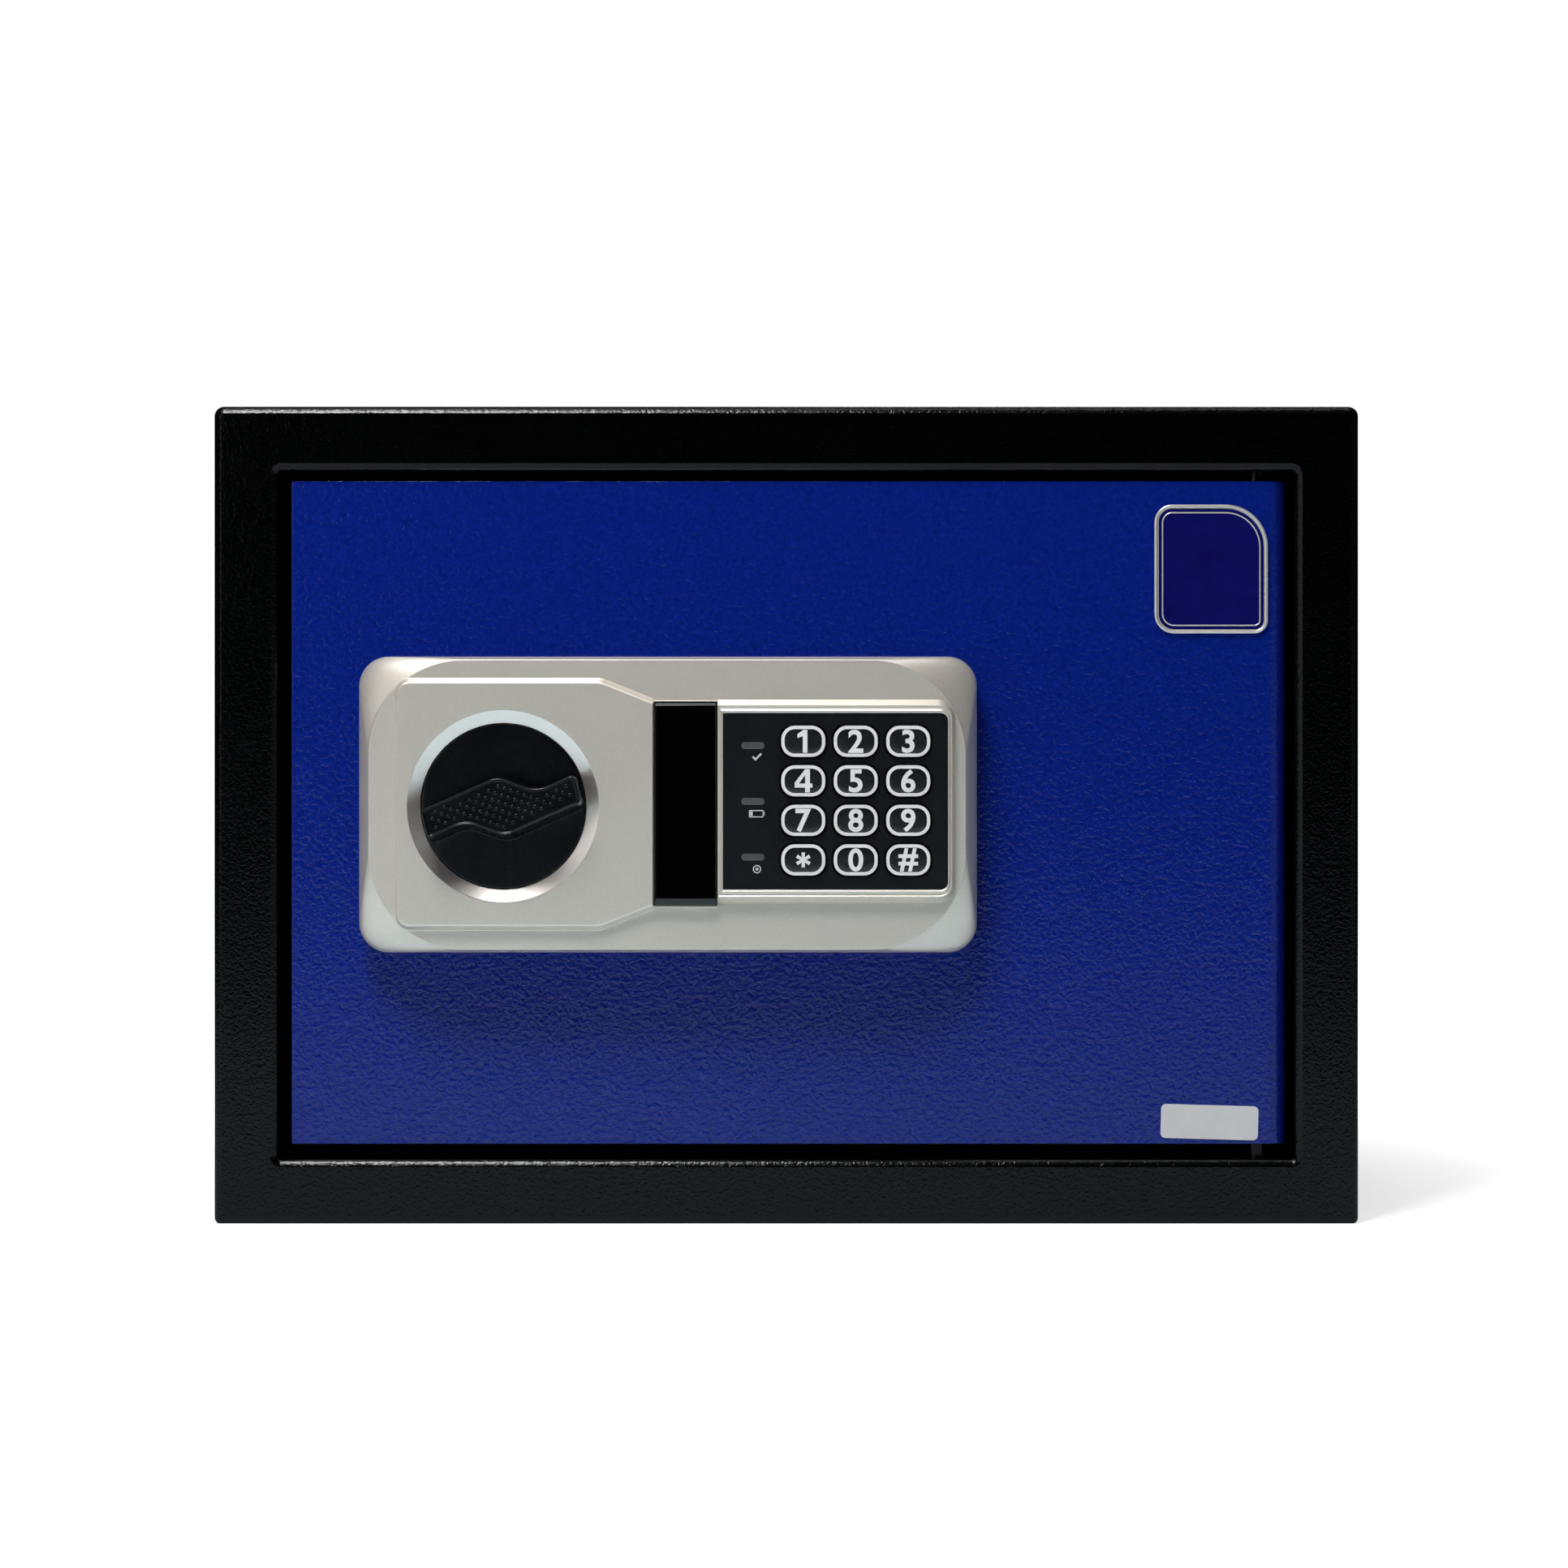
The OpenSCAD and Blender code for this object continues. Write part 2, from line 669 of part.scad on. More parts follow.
module lock_panel() {
    color([0.66, 0.65, 0.62]) difference() {
        union() {
            panel_shell();
            between(pad_y, face_y + eps) pad_outline();
            between(bezel_y, face_y + eps) bezel_outline();
            rod_y(knob_x, knob_z, well_r + panel_t, hollow_y - eps, well_y + panel_t);
            between(hollow_y - eps, pocket_y + panel_t)
                round_rect_at(strip_x, strip_z, strip_w + panel_t, strip_h, 2);
            panel_screw_places() rod_y(0, 0, boss_r, hollow_y - eps, door_y);
        }
        translate([knob_x, pad_y + funnel_d, knob_z]) rotate([90, 0, 0])
            cylinder(r1 = well_r, r2 = well_r + funnel_w * (1 + eps), h = funnel_d * (1 + eps));
        rod_y(knob_x, knob_z, well_r, pad_y, well_y);
        rod_y(knob_x, knob_z, spindle_r + run_clear, well_y - eps, door_y);
        between(pad_y - eps, pocket_y)
            round_rect_at(strip_x, strip_z, strip_w - 2, strip_h - 6, 1);
        between(pad_y - eps, pad_y + strip_t - 0.5)
            round_rect_at(strip_x, strip_z, strip_w - 2 * eps, strip_h, 1);
        rod_y(lock_x, lock_z, lock_r + fix_clear, pocket_y - eps, door_y);
        between(bezel_y - eps, plate_b)
            round_rect_at(plate_x, plate_z, pad_plate_w, pad_plate_h, 1);
        between(plate_b - eps, door_y)
            round_rect_at(plate_x, plate_z, pad_plate_w - 4, pad_plate_h - 4, 1);
        panel_screw_places() rod_y(0, 0, screw_r + fix_clear, door_y - screw_bite - 1, door_y + eps);
    }
}

module keypad_plate() {
    color([0.1, 0.1, 0.11]) between(plate_y, plate_b) difference() {
        round_rect_at(plate_x, plate_z, pad_plate_w - 2 * fix_clear, pad_plate_h - 2 * fix_clear, 1);
        key_places() round_rect(key_w + 2 * move_clear, key_h + 2 * move_clear, key_r);
        led_places() round_rect(led_w + 2 * fix_clear, led_h + 2 * fix_clear, led_h / 2);
    }
}

module led_lenses() {
    color([0.3, 0.31, 0.32]) {
        between(plate_y - 0.15, plate_b) led_places() round_rect(led_w, led_h, led_h / 2 - eps);
        between(plate_b, plate_b + 0.8)
            led_places() round_rect(led_w + 1.4, led_h + 1.4, led_h / 2);
    }
}

module key_mat() {
    color([0.18, 0.18, 0.19]) {
        between(mat_y, mat_y + mat_sheet)
            round_rect_at(plate_x, plate_z, pad_plate_w, pad_plate_h - 2, 2);
        between(dome_y, mat_y + mat_sheet) key_places() circle(3.5);
    }
}

module keypad_board() {
    color([0.05, 0.25, 0.12]) {
        between(keys_board_y - key_lip_gap, keys_board_y - key_lip_gap + board_t)
            round_rect_at(plate_x, plate_z, pad_plate_w - 2, pad_plate_h, 1);
        box([plate_x - 8, keys_board_y - key_lip_gap + board_t, plate_z - 2],
            [plate_x + 8, keys_board_y - key_lip_gap + board_t + 4, plate_z + 4]);
    }
}

// One key, counted from the top left in rows of three
module key_cap(i) {
    x = key_x0 + (i % 3 - 1) * key_pitch_x;
    z = key_z0 + (1.5 - floor(i / 3)) * key_pitch_z;
    color([0.1, 0.1, 0.11]) {
        between(key_y, key_b) round_rect_at(x, z, key_w, key_h, key_r);
        between(plate_b + key_lip_gap, plate_b + key_lip_gap + key_lip_t)
            round_rect_at(x, z, key_w + 1.2, key_h + 1.2, key_r);
    }
}

module key_cover() {
    leg_z = strip_h / 2 - 3 - 1.4;
    color([0.02, 0.02, 0.02]) {
        between(pad_y - 0.5, pad_y + strip_t - 0.5)
            round_rect_at(strip_x, strip_z, strip_w - 2 * move_clear, strip_h - 2 * move_clear, 1);
        for (s = [-1, 1])
            box([strip_x - 4, pad_y + strip_t - 0.5 - eps, strip_z + s * leg_z - 1],
                [strip_x + 4, pocket_y - 1, strip_z + s * leg_z + 1]);
    }
}

module lock_cylinder() {
    color([0.75, 0.72, 0.62]) difference() {
        rod_y(lock_x, lock_z, lock_r, pocket_y - 1.5, cylinder_b);
        rod_y(lock_x, lock_z, plug_r + run_clear, pocket_y - 1.5 - eps, cylinder_b + eps);
    }
}

module cylinder_nut() {
    color([0.7, 0.7, 0.72]) difference() {
        translate([lock_x, door_b + 4, lock_z]) rotate([90, 0, 0])
            cylinder(r = lock_r + 3, h = 4, $fn = 6);
        rod_y(lock_x, lock_z, lock_r + fix_clear, door_b - eps, door_b + 4 + eps);
    }
}

module lock_plug() {
    slot_w = 1.4;
    slot_h = 6;
    tang_r = 2.5;
    color([0.8, 0.66, 0.35]) {
        difference() {
            rod_y(lock_x, lock_z, plug_r, pocket_y - 2, cylinder_b + move_clear - 0.1);
            box([lock_x - slot_w / 2, pocket_y - 2 - eps, lock_z - slot_h / 2],
                [lock_x + slot_w / 2, pocket_y + 18, lock_z + slot_h / 2]);
        }
        rod_y(lock_x, lock_z, tang_r, cylinder_b, cam_b);
        difference() {
            rod_y(lock_x, lock_z, 4, cam_b, cam_b + 0.8);
            box([lock_x - 3, cam_b + 0.4, lock_z - 0.5], [lock_x + 3, cam_b + 1, lock_z + 0.5]);
        }
    }
}

module lock_cam() {
    color([0.7, 0.7, 0.72]) between(cam_b - cam_t, cam_b) difference() {
        union() {
            translate([lock_x, lock_z]) circle(cam_w / 2 + 1.5);
            translate([lock_x - cam_w / 2, lock_z - cam_len]) square([cam_w, cam_len]);
        }
        translate([lock_x, lock_z]) circle(2.5 + fix_clear);
    }
}

// One half of the S: a straight bar that swells past the middle and falls away in a smooth ramp
function grip_side(h, reach, flat) = concat([[-reach, 0], [-reach, h]],
    [for (i = [0:12]) [flat + (13 - flat) * i / 12, h * (1 + cos(15 * i)) / 2]]);

module grip_outline(r) {
    intersection() {
        circle(r);
        union() {
            for (turn = [0, 180]) rotate(turn)
                polygon(grip_side(grip_half, knob_r, 1.2));
        }
    }
}

module knob() {
    color([0.05, 0.05, 0.055]) difference() {
        union() {
            rod_y(knob_x, knob_z, knob_r, pad_y + knob_sink, well_y - move_clear);
            between(pad_y - grip_h, pad_y + knob_sink + eps) translate([knob_x, knob_z])
                rotate(grip_turn) grip_outline(knob_r - 0.6);
        }
        rod_y(knob_x, knob_z, spindle_r + fix_clear, pad_y - grip_h + 4, well_y + eps);
    }
}

module knob_spindle() {
    color([0.72, 0.72, 0.74])
        rod_y(knob_x, knob_z, spindle_r, pad_y - grip_h + 4 + fix_clear, crank_b);
}

module spindle_bush() {
    color([0.8, 0.66, 0.35]) difference() {
        union() {
            rod_y(knob_x, knob_z, spindle_r + 2 - fix_clear, door_y, door_b + eps);
            rod_y(knob_x, knob_z, spindle_r + 4, door_b, door_b + 1.5);
        }
        rod_y(knob_x, knob_z, spindle_r + run_clear, door_y - eps, door_b + 2);
    }
}

module spindle_crank() {
    hub_r = spindle_r + 4;
    color([0.7, 0.7, 0.72]) {
        between(crank_b - crank_t, crank_b) difference() {
            union() {
                translate([knob_x, knob_z]) circle(hub_r);
                translate([knob_x, knob_z]) rotate(90 - half_turn)
                    slot2d(0, crank_r, 0, crank_pin_r + 2);
            }
            translate([knob_x, knob_z]) circle(spindle_r + fix_clear);
        }
        rod_y(pin_x, pin_z, crank_pin_r, crank_b - eps, carriage_b + 1);
    }
}

module bolt(side) {
    z = knob_z + side * bolt_rise;
    tip = 1.5;
    color([0.75, 0.75, 0.77]) {
        rod_x(bolt_y, z, bolt_r, bolt_x0 + tip, carriage_x0);
        translate([bolt_x0, bolt_y, z]) rotate([0, 90, 0])
            cylinder(r1 = bolt_r - tip, r2 = bolt_r, h = tip + eps);
        rod_x(bolt_y, z, neck_r, carriage_x0 - eps, carriage_x0 + plate_t + fix_clear);
        rod_x(bolt_y, z, neck_r + 2, carriage_x0 + plate_t + fix_clear, carriage_x0 + plate_t + 2);
    }
}

module bolt_carriage() {
    slot_top = knob_z + crank_r + crank_pin_r + 1;
    color([0.62, 0.63, 0.6]) difference() {
        union() {
            between(carriage_y, carriage_b) difference() {
                union() {
                    translate([carriage_x0, knob_z - carriage_half])
                        square([carriage_w, 2 * carriage_half]);
                    translate([carriage_x1 - eps, tail_top - tail_h])
                        square([coil_x + throw + plunger_r + 4 - carriage_x1, tail_h]);
                }
                translate([pin_x - crank_pin_r - pin_play, pin_z - crank_pin_r - 1])
                    square([2 * (crank_pin_r + pin_play), slot_top - pin_z + crank_pin_r + 1]);
                for (s = [-1, 1])
                    slot2d(guide_x, guide_x + throw, knob_z + s * guide_rise, guide_r + move_clear);
                for (x = [coil_x, coil_x + throw])
                    translate([x - plunger_r - move_clear, tail_top - notch_depth])
                        square([2 * (plunger_r + move_clear), notch_depth + eps]);
            }
            for (s = [-1, 1]) translate([0, 0, s * bolt_rise])
                box([carriage_x0, carriage_y, knob_z - tab_half],
                    [carriage_x0 + plate_t, bolt_y + bolt_r, knob_z + tab_half]);
        }
        for (s = [-1, 1]) rod_x(bolt_y, knob_z + s * bolt_rise, neck_r + fix_clear,
            carriage_x0 - 1, carriage_x0 + plate_t + eps);
        for (s = [-1, 1]) rod_x(bolt_y, knob_z + s * bolt_rise, neck_r + 2 + fix_clear,
            carriage_x0 + plate_t, carriage_x0 + plate_t + 3);
    }
}

module carriage_guides() {
    color([0.72, 0.72, 0.74]) for (s = [-1, 1]) {
        rod_y(guide_x, knob_z + s * guide_rise, guide_head, door_b, carriage_y - 0.2);
        rod_y(guide_x, knob_z + s * guide_rise, guide_r, carriage_y - 0.2 - eps, carriage_b + 0.2);
        rod_y(guide_x, knob_z + s * guide_rise, guide_head, carriage_b + 0.2, carriage_b + 1.7);
    }
}

module bracket_stud_places() {
    for (s = [-1, 1])
        translate([bracket_x0 + plate_t + bracket_gap / 2, 0, knob_z + s * bracket_stud_rise])
            children();
}

module bolt_bracket() {
    color([0.62, 0.63, 0.6]) difference() {
        union() {
            box([bracket_x0, door_b, knob_z - bracket_half],
                [bracket_x1, door_b + plate_t, knob_z + bracket_half]);
            for (x = [bracket_x0, bracket_x1 - plate_t])
                box([x, door_b, knob_z - bracket_half],
                    [x + plate_t, bolt_y + bolt_r + 2, knob_z + bracket_half]);
        }
        for (s = [-1, 1]) rod_x(bolt_y, knob_z + s * bolt_rise, bolt_r + run_clear,
            bracket_x0 - eps, bracket_x1 + eps);
        bracket_stud_places() rod_y(0, 0, stud_r + move_clear, door_b - eps, door_b + plate_t + eps);
    }
}

module bracket_studs() {
    color([0.7, 0.7, 0.72]) bracket_stud_places() {
        rod_y(0, 0, stud_r, door_b, door_b + plate_t + nut_t + 2);
        translate([0, door_b + plate_t + nut_t, 0]) rotate([90, 0, 0])
            cylinder(r = nut_af / sqrt(3), h = nut_t, $fn = 6);
    }
}

module solenoid_frame() {
    top_z = coil_z + coil_h;
    color([0.66, 0.67, 0.66]) difference() {
        union() {
            box([coil_x - coil_half, door_b, coil_frame_z],
                [coil_x + coil_half, door_b + coil_frame_t, top_z + coil_frame_t]);
            for (z = [coil_frame_z, top_z])
                box([coil_x - coil_half, door_b, z],
                    [coil_x + coil_half, plunger_y + coil_r + 1, z + coil_frame_t]);
        }
        rod_z(coil_x, plunger_y, plunger_r + run_clear, coil_frame_z - eps, coil_z + eps);
    }
}

module solenoid_coil() {
    color([0.55, 0.25, 0.1]) difference() {
        rod_z(coil_x, plunger_y, coil_r, coil_z, coil_z + coil_h);
        rod_z(coil_x, plunger_y, plunger_r + move_clear, coil_z - eps, coil_z + coil_h - core_h);
    }
}

module solenoid_plunger() {
    lip = 6;
    color([0.75, 0.75, 0.77]) {
        rod_z(coil_x, plunger_y, plunger_r, tip_z, coil_z + coil_h - core_h - 1);
        box([coil_x - lip, cam_b - cam_t - 1, collar_z],
            [coil_x + lip + 2, plunger_y + plunger_r, collar_z + collar_t]);
    }
}

module solenoid_spring() {
    z0 = collar_z + collar_t + spring_wire / 2 + 0.05;
    rise = coil_frame_z - z0 - spring_wire / 2 - 0.05;
    steps = 12 * spring_turns;
    color([0.7, 0.7, 0.72]) tube([for (i = [0:steps])
        [coil_x + spring_r * cos(30 * i), plunger_y + spring_r * sin(30 * i), z0 + rise * i / steps]],
        spring_wire / 2, 6, [0, 0, 1]);
}

// A block on the main board; its corner, width and height are shares of the board
module on_board(x, z, w, h, depth) {
    box([board_x0 + x * board_w, board_b - eps, board_z0 + z * board_h],
        [board_x0 + (x + w) * board_w, board_b + depth, board_z0 + (z + h) * board_h]);
}

module main_board() {
    color([0.05, 0.25, 0.12]) {
        difference() {
            box([board_x0, board_y, board_z0], [board_x0 + board_w, board_b, board_z0 + board_h]);
            board_hole_places() rod_y(0, 0, board_pin_r + fix_clear, board_y - eps, board_b + eps);
        }
        on_board(0.38, 0.43, 0.18, 0.27, chip_h);
        on_board(0.67, 0.47, 0.11, 0.17, chip_h);
        on_board(0.09, 0.13, 0.18, 0.13, plug_h);
        on_board(0.66, 0.07, 0.16, 0.13, plug_h);
        on_board(0.03, 0.5, 0.09, 0.2, plug_h);
        rod_y(board_x0 + 0.27 * board_w, board_z0 + 0.77 * board_h, can_r, board_b - eps,
            board_b + can_h);
        rod_y(board_x0 + 0.58 * board_w, board_z0 + 0.83 * board_h, buzzer_r, board_b - eps,
            board_b + buzzer_h);
    }
}

module board_hole_places() {
    for (sx = [-1, 1], sz = [-1, 1])
        translate([board_x + sx * (board_w / 2 - board_pin_in), 0,
            board_z + sz * (board_h / 2 - board_pin_in)]) children();
}

module board_standoffs() {
    color([0.8, 0.8, 0.78]) board_hole_places() {
        rod_y(0, 0, standoff_r, door_b, board_y);
        rod_y(0, 0, board_pin_r, board_y - eps, board_b + eps);
        rod_y(0, 0, standoff_r - 0.3, board_b, board_b + board_pin_r);
    }
}

module reset_switch() {
    color([0.08, 0.08, 0.09]) difference() {
        box([reset_x - 5, board_b, reset_z - 5], [reset_x + 5, switch_b, reset_z + 5]);
        rod_y(reset_x, reset_z, reset_r + move_clear, switch_b - 3, switch_b + eps);
    }
}

module reset_button() {
    color([0.7, 0.05, 0.04])
        rod_y(reset_x, reset_z, reset_r, switch_b - 3 + reset_travel + move_clear, cover_b + button_proud);
}

// Routes of the wires inside the door
module wire_loom() {
    wire_r = 1.6;
    plug_y = board_b + plug_h / 2;
    ribbon_y = keys_board_y - key_lip_gap + board_t + 4 + move_clear;
    end_gap = 0.5;
    keypad_route = [[grommet_x, ribbon_y, grommet_z], [grommet_x, door_y, grommet_z],
        [grommet_x, door_b + 3, grommet_z], [grommet_x, board_b + 3, grommet_z + 5],
        [keypad_plug.x, plug_y, board_z0 - 10], [keypad_plug.x, plug_y, board_z0],
        [keypad_plug.x, plug_y, keypad_plug.y - end_gap]];
    battery_route = [[tray_x - 12, tray_y + 6, tray_z + tray_h / 2 + end_gap],
        [tray_x - 12, tray_y + 6, tray_z + tray_h / 2 + 5],
        [tray_x - 12, tray_y + 6, tray_z + tray_h / 2 + 11],
        [battery_plug.x, plug_y, board_z0 - 8], [battery_plug.x, plug_y, board_z0 - 2],
        [battery_plug.x, plug_y, battery_plug.y - end_gap]];
    solenoid_route = [[coil_x + coil_r + end_gap, plunger_y, coil_z + 12],
        [coil_x + coil_r + 4, plunger_y, coil_z + 12],
        [coil_x + coil_r + 9, plunger_y - 1, coil_z + 12],
        [board_x0 - 8, plug_y, solenoid_plug.y], [board_x0 - 2, plug_y, solenoid_plug.y],
        [solenoid_plug.x - end_gap, plug_y, solenoid_plug.y]];
    color([0.6, 0.1, 0.08]) {
        tube(smooth(keypad_route, 4), wire_r, 8, [0.9, 0.1, 0.2]);
        tube(smooth(battery_route, 4), wire_r, 8, [0.6, 0.2, 0.1]);
        tube(smooth(solenoid_route, 4), wire_r, 8, [0, 0.1, 1]);
    }
}

module cable_grommet() {
    color([0.05, 0.05, 0.05]) difference() {
        union() {
            rod_y(grommet_x, grommet_z, grommet_r - fix_clear, door_y + eps, door_b + eps);
            rod_y(grommet_x, grommet_z, grommet_r + 2, door_b, door_b + 1.5);
        }
        rod_y(grommet_x, grommet_z, grommet_r - 2.5, door_y - eps, door_b + 2);
    }
}

module inner_cover() {
    color([0.04, 0.04, 0.05]) difference() {
        union() {
            box([cover_x0, door_b, cover_z0], [cover_x1, cover_b, cover_z1]);
            box([cover_x0, door_b, cover_z0 - cover_flange],
                [cover_x1, door_b + cover_t, cover_z1 + cover_flange]);
        }
        box([cover_x0 + cover_t, door_b - eps, cover_z0 + cover_t],
            [cover_x1 - cover_t, cover_y, cover_z1 - cover_t]);
        for (s = [-1, 1]) rod_x(bolt_y, knob_z + s * bolt_rise, bolt_r + 0.8,
            cover_x0 - eps, cover_x0 + cover_t + eps);
        between(cover_y - eps, cover_b + eps)
            round_rect_at(tray_x, tray_z, tray_in_w, tray_in_h, 2);
        rod_y(reset_x, reset_z, reset_r + move_clear, cover_y - eps, cover_b + eps);
        cover_screw_places() rod_y(0, 0, cover_screw_r + move_clear, door_b - eps, door_b + cover_t + eps);
    }
}

module battery_holder() {
    color([0.08, 0.08, 0.09]) difference() {
        between(tray_y, cover_y) round_rect_at(tray_x, tray_z, tray_w, tray_h, 2);
        between(tray_y + tray_t, cover_y + eps)
            round_rect_at(tray_x, tray_z, tray_in_w, tray_in_h, 1);
    }
}

module battery_cells() {
    z0 = tray_z - tray_in_h / 2;
    nub_h = 1.2;
    color([0.2, 0.2, 0.22]) for (i = [0:3]) {
        flip = i % 2 == 0;
        x = tray_x + (i - 1.5) * cell_pitch;
        low = z0 + 0.1 + contact_t + (flip ? spring_len : nub_h);
        rod_z(x, cell_y, cell_r, low, low + cell_len - nub_h);
        nub = flip ? low + cell_len - nub_h - eps : low - nub_h;
        rod_z(x, cell_y, 2.6, nub, nub + nub_h + eps);
    }
}

module battery_contacts() {
    half = tray_in_h / 2;
    color([0.8, 0.8, 0.78]) for (i = [0:3]) {
        flip = i % 2 == 0 ? 1 : -1;
        x = tray_x + (i - 1.5) * cell_pitch;
        for (s = [-1, 1]) translate([x, cell_y, tray_z + s * (half - contact_t / 2 - 0.05)])
            cube([contact_w, contact_w, contact_t], center = true);
        spring_z = tray_z - flip * (half - contact_t - 0.05);
        translate([x, cell_y, spring_z]) mirror([0, 0, flip > 0 ? 0 : 1]) translate([0, 0, -eps])
            cylinder(r1 = contact_spring_r, r2 = contact_spring_r - 1.5, h = spring_len - 0.2);
    }
}

module battery_cover() {
    color([0.05, 0.05, 0.055]) {
        between(cover_b + 0.1, cover_b + 0.1 + lid_t)
            round_rect_at(tray_x, tray_z, tray_in_w + 2 * lid_over, tray_in_h + 2 * lid_over, 3);
        between(cover_y + 0.1, cover_b + 0.1 + eps) difference() {
            round_rect_at(tray_x, tray_z, tray_in_w - 2 * move_clear, tray_in_h - 2 * move_clear, 2);
            round_rect_at(tray_x, tray_z, tray_in_w - 4, tray_in_h - 4, 1);
        }
        between(cover_b + lid_t, cover_b + 0.1 + lid_t + 1.2) for (i = [-1:1])
            round_rect_at(tray_x, tray_z + tray_in_h / 2 - 6 + i * 2.4, 18, 1.2, 0.5);
    }
}

module panel_screws() {
    color([0.7, 0.7, 0.72]) panel_screw_places() {
        rod_y(0, 0, screw_r, door_y - screw_bite, door_b + eps);
        difference() {
            rod_y(0, 0, screw_head_r, door_b, door_b + screw_head_h);
            rod_y(0, 0, 1.3, door_b + 1, door_b + screw_head_h + eps, $fn = 6);
        }
    }
}

module cover_screws() {
    color([0.7, 0.7, 0.72]) cover_screw_places() {
        rod_y(0, 0, cover_screw_r, door_b - cover_bite, door_b + cover_t + eps);
        difference() {
            rod_y(0, 0, 3, door_b + cover_t, door_b + cover_t + 1.8);
            box([-2, door_b + cover_t + 1, -0.4], [2, door_b + cover_t + 2, 0.4]);
        }
    }
}

module badge_plate() {
    x = door_x1 - 6 - badge_w / 2;
    z = door_z1 - 7.2 - badge_h / 2;
    color([0.6, 0.6, 0.62]) {
        between(door_y - badge_t, door_y) difference() {
            round_rect_at(x, z, badge_w, badge_h, 8);
            round_rect_at(x, z, badge_w - 4, badge_h - 4, 6);
        }
        between(door_y - badge_t + 0.5, door_y) round_rect_at(x, z, badge_w - 4 + eps, badge_h - 4 + eps, 6);
    }
}

module blank_label() {
    x = door_x1 - 9 - label_w / 2;
    z = door_z0 + 1.5 + label_h / 2;
    color([0.85, 0.85, 0.84]) between(door_y - label_t, door_y)
        translate([x, z]) rotate(-label_tilt) round_rect(label_w, label_h, 1.5);
}

body_wrap();
back_panel();
front_frame();
hinge_lugs();
floor_mat();
door_plate();
hinge_blocks();
hinge_pins();
lock_panel();
keypad_plate();
led_lenses();
key_mat();
keypad_board();
key_cap(0);  // key_1
key_cap(1);  // key_2
key_cap(2);  // key_3
key_cap(3);  // key_4
key_cap(4);  // key_5
key_cap(5);  // key_6
key_cap(6);  // key_7
key_cap(7);  // key_8
key_cap(8);  // key_9
key_cap(9);  // key_star
key_cap(10);  // key_0
key_cap(11);  // key_hash
key_cover();
lock_cylinder();
cylinder_nut();
lock_plug();
lock_cam();
knob();
knob_spindle();
spindle_bush();
spindle_crank();
bolt(1);  // bolt_upper
bolt(-1);  // bolt_lower
bolt_carriage();
carriage_guides();
bolt_bracket();
bracket_studs();
solenoid_frame();
solenoid_coil();
solenoid_plunger();
solenoid_spring();
main_board();
board_standoffs();
reset_switch();
reset_button();
wire_loom();
cable_grommet();
inner_cover();
battery_holder();
battery_cells();
battery_contacts();
battery_cover();
panel_screws();
cover_screws();
badge_plate();
blank_label();
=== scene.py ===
# %% [markdown]
# # A small electronic safe
# The object is a sheet-steel box with a recessed blue door, a silver lock panel, a round knob, a
# keypad and a key strip. The packed model gives every piece at its real place, in metres, with X to
# the right, Y to the back and Z up. This lesson dresses that model: it keeps the solids whose shape
# is right, and builds finer meshes for the pieces that the eye rests on.

# %% Load the packed model
import json
import math
import bpy
import bmesh
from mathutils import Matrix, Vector


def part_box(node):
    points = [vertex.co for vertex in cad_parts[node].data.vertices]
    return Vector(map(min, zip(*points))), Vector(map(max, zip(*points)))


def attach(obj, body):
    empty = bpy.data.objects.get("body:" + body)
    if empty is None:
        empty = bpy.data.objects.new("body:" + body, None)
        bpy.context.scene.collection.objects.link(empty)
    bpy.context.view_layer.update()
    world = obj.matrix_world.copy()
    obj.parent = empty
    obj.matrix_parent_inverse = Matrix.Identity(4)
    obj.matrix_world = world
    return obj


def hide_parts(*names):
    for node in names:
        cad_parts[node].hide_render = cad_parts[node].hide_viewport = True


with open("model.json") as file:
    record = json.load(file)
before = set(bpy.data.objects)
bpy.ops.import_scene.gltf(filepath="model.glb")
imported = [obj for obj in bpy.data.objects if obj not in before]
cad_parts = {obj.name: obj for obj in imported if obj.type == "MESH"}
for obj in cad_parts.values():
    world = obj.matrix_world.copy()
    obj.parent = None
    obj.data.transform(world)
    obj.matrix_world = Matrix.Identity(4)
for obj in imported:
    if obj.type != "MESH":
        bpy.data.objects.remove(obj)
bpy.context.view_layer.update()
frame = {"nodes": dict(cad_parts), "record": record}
scene = bpy.context.scene
MM = 0.001

# %% [markdown]
# ## Camera
# The photograph is taken straight on, with the lens a little above the middle of the safe. A camera
# could be placed by eye, but here it is worked out: the square picture spans 479 mm at the level of
# the front frame, and the amount of perspective puts the lens a little over a metre away.

# %% Straight camera
FRAME_Y = -125.0
LENS_AWAY = 1150.0
PICTURE_SPAN = 479.0
SENSOR = 36.0
LENS_X, LENS_Z = -0.7, 134.5
camera = bpy.data.objects.new("camera", bpy.data.cameras.new("camera"))
camera.data.sensor_width = SENSOR
camera.data.lens = SENSOR * LENS_AWAY / PICTURE_SPAN
camera.location = (LENS_X * MM, (FRAME_Y - LENS_AWAY) * MM, LENS_Z * MM)
camera.rotation_euler = (math.radians(90), 0, 0)
scene.collection.objects.link(camera)
scene.camera = camera
print("lens:", round(camera.data.lens, 1), "mm")

# %% [markdown]
# ## Light
# A product like this is lit by one soft lamp above and in front, a little to the left, and by the
# pale table that throws light back up. What lies straight ahead of the door stays dark, which is
# why the black frame looks black at the top and paler near the table. One area lamp gives the light
# and the shadow. Rounded silver edges also need something to mirror, so two weak lamps stand at the
# sides and one hangs overhead, and a lamp behind the safe shows its back in other views.

